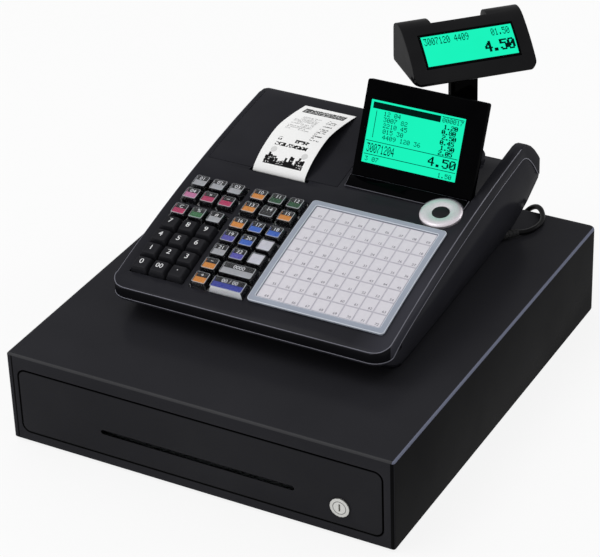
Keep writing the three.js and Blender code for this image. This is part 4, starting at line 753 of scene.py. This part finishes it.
# Function keys: a clear snap-on cap over a black core, with a two-tone paper label between them.
# The part of the label near the operator is coloured; the far part is black with a white mark.
clear_plastic = clouded("clear_cap_plastic", "ffffff", "eef0f4", 300, 3, 0.03, 0.05, IOR=1.22,
                        Transmission_Weight=1.0)
# Painted highlight: the clear caps' rims and upright corners take a pale, half-clear colour.
cap_edge_highlight = clouded("clear_cap_edge_highlight", "dfe1e8", "a6a8b0", 500, 3, Roughness=0.2, Specular_IOR_Level=0.5)
cap_edge_highlight.feed("Alpha", 0.5 + 0.4 * cap_edge_highlight.cloud)


def label_paper(name, colour):
    finish = Finish(name, Roughness=0.5, Specular_IOR_Level=0.1, Coat_Roughness=0.1)
    fibre = finish.speckle(1400, 3)
    finish.feed("Base Color", finish.blend(fibre, paint(colour), paint(colour, 0.82)))
    finish.feed("Coat Weight", 0.06 + 0.06 * fibre)
    return finish


core_plastic = moulded("key_core_plastic", "141416", "1e1e21", 0.4)
label_papers = {name: label_paper(f"label_{name}", colour) for name, colour in {
    "orange": "d8882e", "crimson": "b8285c", "mauve": "c4729c", "green": "2f6e3e", "dark_green": "0a4a25",
    "grey": "a9aaad", "pale": "d2d1d8", "blue": "2f62c4", "violet": "524fae", "navy": "2c3a9c",
    "black": "1a1a1c", "white": "eeeef0"}.items()}
function_keys = [
    (0, 4, "key_red", "crimson", "C"), (1, 4, "key_green", "green", "%"), (2, 4, "key_grey", "grey", "#"),
    (3, 0, "key_orange_lower", "orange", "+"), (3, 1, "key_orange_upper", "orange", "−"),
    (0, 5, None, "mauve", "04"), (1, 5, None, "crimson", "×"), (2, 5, None, "crimson", "−"),
    (0, 6, None, "grey", "01"), (1, 6, None, "grey", "02"), (2, 6, None, "grey", "03"),
    (3, 2, None, "grey", "21"), (4, 2, None, "violet", "22"), (5, 2, None, "pale", ""),
    (3, 3, None, "violet", "19"), (4, 3, None, "blue", "20"), (5, 3, None, "pale", ""),
    (3, 4, None, "orange", "16"), (4, 4, None, "blue", "17"), (5, 4, None, "blue", "18"),
    (3, 5, None, "orange", "13"), (4, 5, None, "black", "14"), (5, 5, None, "orange", "15"),
    (3, 6, None, "orange", "10"), (4, 6, None, "dark_green", "11"), (5, 6, None, "dark_green", "12"),
]
label_top, label_floor, label_lean, label_half = 0.0049, 0.004, 0.0017, 0.0008
cap_wall, core_inset = 0.0007, 0.001
mark_size, mark_depth, mark_place = 0.0062, 0.00002, (0, 0.0033, 0.00496)


def on_label(face):
    """Whether a face is on top of the labelled core."""
    return face.normal.z > 0.9 and face.center.z > label_floor


def clear_key_models(width, name):
    """The clear cap and the labelled core of a key, both in the key's own frame."""
    cap = key_form(f"{name}_cap_model", width, 0, key_height, key_taper, 0.0014)
    choose(cap, "faces", lambda face: face.normal.z < -0.9)
    bpy.ops.mesh.delete(type="FACE")
    choose(cap, "edges", round_top)
    bpy.ops.mesh.bevel(offset=0.0004, segments=2, affect="EDGES")
    finish_block(cap, clear_plastic, angle=38)
    give_wall(cap, cap_wall)

    def rim_or_corner(face):
        x, y, z = face.normal
        rim = 0.3 < z < 0.97 and face.center.z > key_height - 0.0006
        return rim or (abs(x) > 0.35 and abs(y) > 0.35 and 0 < z < 0.5 and face.center.z > 0.002)

    # Painted highlight on the cap's rim and corners.
    repaint(cap, cap_edge_highlight, rim_or_corner)
    core = key_form(f"{name}_core_model", width, core_inset, label_top, label_lean, 0.0012)
    choose(core, "faces", lambda face: face.normal.z > 0.9 and face.calc_center_median().z > label_floor)
    bpy.ops.mesh.inset(thickness=0.0004)
    bpy.ops.mesh.bisect(plane_co=(0, label_half, 0), plane_no=(0, 1, 0))
    return cap, finish_block(core, core_plastic)


models = {"single": clear_key_models(key_width, "single"),
          "wide": clear_key_models(key_width + key_across, "wide")}
for column, row, node, tone, mark in function_keys + [(4, 0, "key_wide_blue", "navy", "00 / 00"),
                                                      (4, 1, "key_wide_grey", "grey", "0000")]:
    wide = node in ("key_wide_blue", "key_wide_grey")
    place = on_deck(key_columns[column] + (key_across / 2 if wide else 0), key_rows[row])
    title = node.removeprefix("key_") if node else f"fixed_key_{column + 1}_{row + 1}"
    cap_model, core_model = models["wide" if wide else "single"]
    body = node or "register_base"
    cap = placed(f"clear_cap_{title}", cap_model.data.copy())
    cap.data.transform(place)
    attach(cap, body)
    core = placed(f"label_core_{title}", core_model.data.copy())
    whole = tone == "pale"
    repaint(core, label_papers[tone], lambda face: on_label(face) and (
        face.center.y < label_half or whole and abs(face.center.x) < key_width / 2 - 0.003))
    if node == "key_wide_blue":
        repaint(core, label_papers["white"], lambda face: face.normal.y < -0.8)
    core.data.transform(place)
    if mark:
        ink = figure(mark, mark_size, white_ink, place @ Matrix.Translation(mark_place), mark_depth)
        core = joined(core, ink)
    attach(core, body)
    if node:
        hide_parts(node)
for pair in models.values():
    for model in pair:
        bpy.data.objects.remove(model)


# Touch sheet: a pale blue-grey frame, screwed down from below, holds a soft white sheet over
# nine columns of eight flat key places, each with its number in the corner.
frame_plastic = moulded("pale_frame_plastic", "9299a8", "a3aab7", 0.3, 0.00002, 0.25)
# Painted highlight: the frame's rounded edges are painted paler.
frame_edge_highlight = moulded("pale_frame_edge_highlight", "c9cfda", "d9dee6", 0.25, 0.00002, 0.4)
finished_copy("membrane_frame", "touch_sheet_frame", frame_plastic, 0.0007, edge_light_and_shade=frame_edge_highlight)
film = clouded("touch_sheet_film", "d3d0d8", "c6c3cc", 60, 4, 0.26, 0.14, Specular_IOR_Level=0.5)
film.relief(film.speckle(1200), 0.00002, 0.4)
finished_copy("membrane_sheet", "touch_sheet", film)
sheet_x, sheet_along = 0.0644, -0.0462
cell_columns, cell_rows = 9, 8
cell_across, cell_along = 0.1300 / cell_columns, 0.1284 / cell_rows
cell_edge, film_lift, print_lift = 0.0004, 0.00134, 0.00178
number_size, number_share, number_drop = 0.0042, 0.68, 0.0046
grey_print = clouded("grey_print", "6a6772", "575460", 1500, Roughness=0.4)
pads = flat_grid("touch_sheet_pads", cell_columns, cell_rows)
for vertex in pads.data.vertices:
    vertex.co = on_deck(sheet_x + vertex.co.x * cell_across * cell_columns,
                        sheet_along + vertex.co.y * cell_along * cell_rows, film_lift).translation
enter_mode("EDIT")
choose(pads, "faces", lambda face: True)
bpy.ops.mesh.inset(thickness=cell_edge, use_individual=True)
bpy.ops.mesh.inset(thickness=cell_edge, depth=cell_edge, use_individual=True)
pad_film = clouded("touch_pad_film", "dcd9e0", "d0cdd5", 220, 3, 0.25, 0.12)
groove_film = clouded("touch_groove_film", "c3c0ca", "b3b0ba", 400, Roughness=0.4)
finish_block(pads, groove_film, angle=20)
repaint(pads, pad_film, lambda face: face.area >= cell_across * cell_along * 0.3)
prints = []
for row in range(cell_rows):
    along = sheet_along + (row - cell_rows / 2 + 0.5) * cell_along - number_drop
    for column in range(cell_columns):
        number = (cell_rows - 1 - row) * cell_columns + column + 1
        across = sheet_x + (column - cell_columns / 2 + number_share) * cell_across
        place = on_deck(across, along, print_lift)
        prints.append(figure(f"{number:02}", number_size, grey_print, place, 0.00001))
pads = joined(pads, *prints)
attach(pads, "register_base")


# Navigation keys: a bright satin ring that rocks, and a dark button in its middle. A gloss strip
# beside them fills the deck in front of the display's hinge.
satin_metal = clouded("satin_ring", "e1dce1", "bdb6bd", 900, 3, 0.3, 0.16, Metallic=0.55)
finished_copy("navigation_ring", "rocking_ring", satin_metal, sharp=50)
finished_copy("centre_button", "middle_button", cap_plastic, 0.0002, sharp=50)


def gloss(name, colour="010102", pale="040405", coat=0.02):
    """Piano-black moulding: a deep colour under a polished skin with faint wiping marks."""
    finish = clouded(name, colour, pale, 30, 4, 0.16, 0.12, (1, 0.3, 1), Specular_IOR_Level=0.0,
                     Coat_Roughness=0.06)
    finish.feed("Coat Weight", coat + 0.7 * coat * finish.cloud)
    finish.relief(finish.speckle(500), 0.00001, 0.3)
    return finish


black_gloss = gloss("black_gloss")
# The strip's rounded edges carry a painted highlight.
finished_copy("display_trim", "gloss_strip", black_gloss, 0.0007, edge_light_and_shade=edge_highlight_charcoal)


# Operator's display: a gloss-black slab on a nickel-plated pin, with a green back-lit liquid crystal
# in its window. The picture is drawn in square dots.
nickel = clouded("bright_nickel", "c9cbce", "8f9296", 2200, 2, 0.16, 0.14, (1, 0.05, 1), Metallic=1.0)
finished_copy("hinge_pin", "steel_pin", nickel)
finished_copy("operator_display", "display_slab", black_gloss, 0.0005, 3)


def glowing(name):
    """A back-lit liquid crystal, slightly brighter in some places than in others."""
    finish = Finish(name, Specular_IOR_Level=0.1, Emission_Strength=0.9)
    uneven = finish.speckle(25, 2)
    finish.feed("Base Color", paint("0a3a30"))
    finish.feed("Emission Color", finish.blend(uneven, paint("00ffc4"), paint("04f6bc")))
    finish.feed("Roughness", 0.15 + 0.1 * uneven)
    return finish


window_gloss = gloss("window_gloss", "020303", "050606")
finished_copy("operator_screen", "display_window", window_gloss)
dot_rows = {
    "0": "01110 10001 10011 10101 11001 10001 01110", "1": "00100 01100 00100 00100 00100 00100 01110",
    "2": "01110 10001 00001 00110 01000 10000 11111", "3": "11111 00010 00100 00010 00001 10001 01110",
    "4": "00010 00110 01010 10010 11111 00010 00010", "5": "11111 10000 11110 00001 00001 10001 01110",
    "6": "00110 01000 10000 11110 10001 10001 01110", "7": "11111 00001 00010 00100 01000 01000 01000",
    "8": "01110 10001 10001 01110 10001 10001 01110", "9": "01110 10001 10001 01111 00001 00010 01100",
    ".": "00000 00000 00000 00000 00000 01100 01100", " ": "00000 00000 00000 00000 00000 00000 00000"}
liquid_crystal = clouded("dark_crystal", "021813", "04261f", 300, Roughness=0.3, Specular_IOR_Level=0.0)
area_lift, dot_lift = 0.0001, 0.00018


def barred(dots, left, right, top, bottom):
    """Sets the dots of a bar."""
    dots.update((column, line) for column in range(left, right) for line in range(top, bottom))


def lettered(dots, text, left, top, wide=1, tall=1, bold=0):
    """Sets the dots of a line of figures whose first dot is at left, top. Bold dots reach further."""
    for order, sign in enumerate(text):
        for down, line in enumerate(dot_rows[sign].split()):
            for over, dot in enumerate(line):
                if dot == "1":
                    column, level = left + (order * 6 + over) * wide, top + down * tall
                    barred(dots, column, column + wide + bold, level, level + tall)


def lit_picture(title, crystal, size, count, dots, body, place, bulge=lambda y: 0.0):
    """A display's lit area of that size just in front of its window, and on it a grid with that count
    of dots across and down, kept where a dot is dark. Both follow the bulge of the window."""
    across, down = count
    area = flat_grid(f"{title}_light", 6, 20)
    dress(area, glowing(crystal))
    picture = flat_grid(f"{title}_dots", across, down)
    dress(picture, liquid_crystal)
    enter_mode("EDIT")

    def lit(face):
        middle = face.calc_center_median()
        return (int((middle.x + 0.5) * across), int((0.5 - middle.y) * down)) not in dots

    choose(picture, "faces", lit)
    bpy.ops.mesh.delete(type="FACE")
    enter_mode("OBJECT")
    for piece, lift in ((area, area_lift), (picture, dot_lift)):
        piece.data.transform(Matrix.Diagonal((*size, 1, 1)))
        for vertex in piece.data.vertices:
            vertex.co.z = bulge(vertex.co.y) + lift
        piece.data.transform(place)
        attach(piece, body)


display_hinge, display_lean = (0.0079, 0.061254, 0.186626), math.radians(24.2)
window_from_hinge = (0.0585, -0.0045, 0.048)
display_place = (Matrix.Translation(display_hinge) @ Matrix.Rotation(-display_lean, 4, "X")
                 @ Matrix.Translation(window_from_hinge) @ Matrix.Rotation(math.pi / 2, 4, "X"))
dots = set()
barred(dots, 4, 119, 3, 13)
lettered(dots, "000017", 122, 5)
barred(dots, 121, 158, 3, 4)
for order, (code, price) in enumerate((("12 04", "1.20"), ("3007 82", "0.80"), ("2210 45", "2.50"),
                                       ("015 30", "0.45"), ("4409 120 36", "1.50"), ("", "2.05"))):
    lettered(dots, code, 24 + order, 15 + 9 * order)
    lettered(dots, price, 126 - 2 * (order % 2), 15 + 8 * order, bold=1)
barred(dots, 11, 12, 16, 58)
lettered(dots, "30071204", 5, 67, 1, 2)
lettered(dots, "4.50", 110, 67, 2, 2, bold=1)
for line in (63, 84):
    barred(dots, 2, 158, line, line + 1)
lettered(dots, "3 07", 5, 88)
lettered(dots, "1.50", 130, 89)
lit_picture("operator_display", "lit_crystal", size=(0.101, 0.062), count=(160, 98), dots=dots,
            body="display_panel", place=display_place)


# Printer: a lift-up cover over the paper well with a toothed slot in front, a frame that cradles
# the roll, and a rubber platen. The strip of paper curls out of the slot and back over the cover.
finished_copy("printer_cover", "printer_lid", charcoal, 0.0005, sharp=45)
cradle_plastic = moulded("cradle_plastic", "303136", "3b3c42", 0.55)
finished_copy("printer_frame", "printer_cradle", cradle_plastic, 0.0004)
platen_rubber = rubber("platen_rubber", "1a1b1d", "28292b")
finished_copy("platen_roller", "platen", platen_rubber, sharp=50)
thermal_paper = clouded("thermal_paper", "ffffff", "f4f4f3", 700, 4, Roughness=0.7, Sheen_Weight=0.1)
thermal_paper.relief(thermal_paper.cloud, 0.00003, 0.3)
finished_copy("paper_roll", "thermal_roll", thermal_paper, sharp=50)
printed_paper = Finish("printed_paper", Roughness=0.62, Specular_IOR_Level=0.08)
strip_middle_x = -0.0598
x, y, z = printed_paper.coordinates()
x = x - strip_middle_x


def chance(wide, high):
    """A random number for each cell of that width and height."""
    cell = printed_paper.node("ShaderNodeCombineXYZ", {}, [(x / wide).whole(), (y / high).whole(), 0.0])
    return printed_paper.node("ShaderNodeTexWhiteNoise", {"noise_dimensions": "2D"}, {0: cell})


def printed_rows(pitch, fine, fill, word_length=0.0077):
    """Rows of small marks, grouped in words, from cells that are printed or left white."""
    return ((y / pitch).part() > 0.38) * (chance(word_length, pitch) > 0.3) * (chance(fine, fine) > fill)


def patch(low, high, left, right):
    """1 inside that part of the strip."""
    return between(y, low, high) * between(x, left, right)


heading = patch(0.1255, 0.1365, -0.0235, 0.0235) * (1 - 0.7 * printed_rows(0.0036, 0.0009, 0.5))
items = patch(0.0840, 0.1170, -0.021, 0.005) * printed_rows(0.0029, 0.0008, 0.36) * 0.55
prices = patch(0.0740, 0.1180, 0.0125, 0.0225) * printed_rows(0.0036, 0.0011, 0.34) * 0.85
thanks = patch(0.0585, 0.0735, -0.019, 0.017) * printed_rows(0.0071, 0.0015, 0.38, 0.015)
bar = printed_paper.node("ShaderNodeTexWhiteNoise", {"noise_dimensions": "1D"}, {1: (x / 0.0024).whole()})
bars = patch(0.0385, 0.0425 + 0.0085 * bar, -0.0216, 0.0216) * (1 - 0.7 * printed_rows(0.0024, 0.0008, 0.8))
spot_radius = 0.0034
spots = ((squared(x + 0.0165, y - 0.0540) < spot_radius ** 2)
         + (squared(x - 0.0185, y - 0.0530) < spot_radius ** 2))
fibre = printed_paper.speckle(700, 4)
bare_paper = printed_paper.blend(fibre, paint("ffffff"), paint("f6f6f5"))
inked = heading + items + prices + thanks + bars + 0.26 * spots
printed_paper.feed("Base Color", printed_paper.blend(inked, bare_paper, paint("0a0a0b")))
printed_paper.relief(fibre, 0.00003, 0.3)
finished_copy("receipt", "paper_strip", printed_paper, sharp=60)


# Customer display: a swivelling collar and a telescoping pole carry a gloss-black wedge that tilts
# on a cross pin. Its sloping face holds a second green display under a clear window.
finished_copy("swivel_collar", "pole_collar", charcoal, 0.0004, sharp=50)
finished_copy("pole", "display_pole", black_gloss, 0.0005, sharp=50)
tilt_pin, head_turn, face_lean = (0.0698, 0.182654, 0.2792), math.radians(45), math.radians(90 - 50.7)
from_pole = Matrix.Translation((-0.001, -0.020, 0.0174)) @ Matrix.Rotation(face_lean, 4, "X")
head_place = Matrix.Translation(tilt_pin) @ Matrix.Rotation(head_turn, 4, "Z") @ from_pole


def prism(outline, low, high, place=Matrix()):
    """A solid whose outline, in millimetres, runs from one height to another in its place's frame."""
    solid = bpy.data.meshes.new("prism")
    count = len(outline)
    corners = [place @ Vector((a / 1000, b / 1000, h / 1000)) for h in (low, high) for a, b in outline]
    sides = [(n, (n + 1) % count, (n + 1) % count + count, n + count) for n in range(count)]
    solid.from_pydata(corners, [], sides + [range(count)[::-1], range(count, 2 * count)])
    made = placed("prism", solid)
    only(made)
    enter_mode("EDIT")
    bpy.ops.mesh.select_all(action="SELECT")
    bpy.ops.mesh.normals_make_consistent(inside=False)
    enter_mode("OBJECT")
    return made


def rectangle(half_x, half_y):
    return [(-half_x, -half_y), (half_x, -half_y), (half_x, half_y), (-half_x, half_y)]


def arc(radius, turns):
    """Points of a circle round the origin, at turns in degrees."""
    return [(radius * math.cos(math.radians(a)), radius * math.sin(math.radians(a))) for a in turns]


def carve(piece, cutter, operation="DIFFERENCE"):
    only(piece)
    cut = piece.modifiers.new("cut", "BOOLEAN")
    cut.operation = operation
    cut.object = cutter
    cut.solver = "MANIFOLD"
    bpy.ops.object.modifier_apply(modifier="cut")
    bpy.data.objects.remove(cutter)


def crown(y):
    """How far the wedge's face bulges, at a height on it in metres."""
    return 0.003 * max(0.0, 1 - ((y + 0.0015) / 0.0325) ** 2)


def rolled_wedge(wedge):
    """The wedge anew, in millimetres: its face bulges and rolls over the top in one curve, and its lower
    corners are round. The notch behind the face, the window's pocket, the pole's slot and the pin's
    bore are cut."""
    roll = [(-33.6, -3.4), (-33.9, -1.6), (-32.6, 0.1)]
    roll += [(y, 1000 * crown(y / 1000)) for y in (-28, -22, -15, -8, -1, 6, 13, 19, 24)]
    roll += [(28, 0.3), (31.6, -1.2), (35, -3.2), (38, -5.7), (40.6, -8.9), (42.6, -12.6), (43.4, -16.6),
             (42.2, -20), (22.5, -45.2), (19, -47), (-27, -7.6)]
    across = Matrix(((0, 0, 1, 0), (1, 0, 0, 0), (0, 1, 0, 0), (0, 0, 0, 1)))
    left, right, bottom, corner = -63.2, 62.6, -34.2, 9
    behind, before = -90, 20
    notch = [(-31, 31.6), (27, 31.6), (29.6, 60), (-33.6, 60)]
    body = prism(roll, left, right, across)
    enter_mode("EDIT")
    choose(body, "faces", lambda face: abs(face.normal.x) > 0.9)
    bpy.ops.mesh.inset(thickness=0.0022)
    enter_mode("OBJECT")
    lower = [(left + corner - a, bottom + corner - b) for a, b in arc(corner, range(0, 91, 10))]
    lower += [(left + right - a, b) for a, b in reversed(lower)]
    carve(body, prism([(-70, 60)] + lower + [(70, 60)], behind, before), "INTERSECT")
    carve(body, prism(notch, behind, before))
    pocket, pocket_floor = rectangle(49.3, 18.8), -1.4
    carve(body, prism(pocket, pocket_floor, before))
    slot, slot_top, pole_frame = rectangle(14.6, 14), 9.8, from_pole.inverted()
    carve(body, prism(slot, behind, slot_top, pole_frame))
    bore, bore_reach = arc(2.8, range(0, 360, 30)), 19.3
    carve(body, prism(bore, -bore_reach, bore_reach, pole_frame @ across))
    body.data.transform(head_place)
    dress(body, wedge_gloss)
    wedge.data = body.data
    bpy.data.objects.remove(body)
    only(wedge)


wedge_gloss = gloss("wedge_gloss", "0b0b0d", "121214", 0.14)
finished_copy("customer_head", "display_wedge", wedge_gloss, 0.0012, 3, sharp=30, least=25,
              shape=rolled_wedge)


def curved_window(window):
    """The window's outer face follows the bulge of the wedge's face."""
    window.data.transform(head_place.inverted())
    enter_mode("EDIT")
    for level in range(-15, 16, 5):
        bpy.ops.mesh.select_all(action="SELECT")
        bpy.ops.mesh.bisect(plane_co=(0, level / 1000, 0), plane_no=(0, 1, 0))
    enter_mode("OBJECT")
    for vertex in window.data.vertices:
        if vertex.co.z > -0.0003:
            vertex.co.z = crown(vertex.co.y) - 0.0001
    window.data.transform(head_place)


finished_copy("customer_screen", "wedge_window", window_gloss, sharp=40, shape=curved_window)
dots = set()
lettered(dots, "3007120 4409", 3, 4, 1, 2)
lettered(dots, "01.50", 110, 4, 1, 2)
lettered(dots, "4.50", 94, 27, 2, 3, bold=2)
lit_picture("customer_display", "customer_crystal", size=(0.0937, 0.0322), count=(144, 58),
            dots=dots, body="head", place=head_place, bulge=crown)


# Strain relief and plug: a ribbed rubber sleeve where the lead leaves the housing, and at its far end
# a moulded plug with two nickel-plated pins, lying on the coil.
finished_copy("strain_relief", "ribbed_sleeve", foot_rubber, sharp=30)
plug = finished_copy("plug", "mains_plug", sheath, 0.0006, sharp=40)
pin_length = 0.0188
pins_end = min(vertex.co.x for vertex in plug.data.vertices) + pin_length
repaint(plug, nickel, lambda face: face.center.x < pins_end)


# The studio: a pale floor that keeps the object's shadow, a sky that is brighter on the left, a broad
# lamp above the left front and a small one behind on the right. Floor and sky are seen as white.
def seen_straight(nodes):
    """1 where the camera looks, straight, by a reflection or through glass."""
    kinds = ("Is Camera Ray", "Is Glossy Ray", "Is Transmission Ray")
    camera_ray, glossy_ray, glass_ray = (nodes.node("ShaderNodeLightPath", {}, {}, kind) for kind in kinds)
    return nodes.math("MAXIMUM", nodes.math("MAXIMUM", camera_ray, glossy_ray), glass_ray)


floor_paint = Finish("floor_paint", Roughness=0.9)
pale = floor_paint.speckle(3, 2)
floor_paint.feed("Base Color", floor_paint.blend(pale, (0.88, 0.88, 0.88, 1), (0.9, 0.9, 0.9, 1)))
glow = floor_paint.node("ShaderNodeEmission", {}, {"Color": (1, 1, 1, 1), "Strength": 1.0})
painted = Flow(floor_paint, floor_paint.shader.outputs[0])
mixed = floor_paint.node("ShaderNodeMixShader", {}, [seen_straight(floor_paint) * 0.85, painted, glow])
floor_paint.join(mixed, floor_paint.tree.nodes["Material Output"].inputs["Surface"])
bpy.ops.mesh.primitive_plane_add(size=30, location=(0, 0, -0.0002))
floor = bpy.context.object
floor.name = "studio_floor"
dress(floor, floor_paint)

world = bpy.data.worlds.new("studio_sky")
world.use_nodes = True
bpy.context.scene.world = world
sky = Nodes(world.node_tree, "Generated")
to_right = sky.coordinates()[0]
background = sky.tree.nodes["Background"]
sky.join((1, 1, 1, 1), background.inputs["Color"])
sky.join(sky.node("ShaderNodeMix", {}, {0: seen_straight(sky), 2: 0.66 - 0.22 * to_right, 3: 1.0}),
         background.inputs["Strength"])


def lamp(name, place, aim, size, power):
    """A square lamp of that size at its place, turned towards its aim."""
    bpy.ops.object.light_add(type="AREA", location=place)
    light = bpy.context.object
    light.name = name
    light.data.size = size
    light.data.energy = power
    light.rotation_mode = "QUATERNION"
    light.rotation_quaternion = (Vector(aim) - Vector(place)).to_track_quat("-Z", "Y")


lamp("key_lamp", (-0.9, -0.8, 2.5), (0, 0, 0.1), 1.6, 20)
lamp("edge_lamp", (1.33, 1.45, 1.15), (0, 0, 0.12), 0.5, 6)
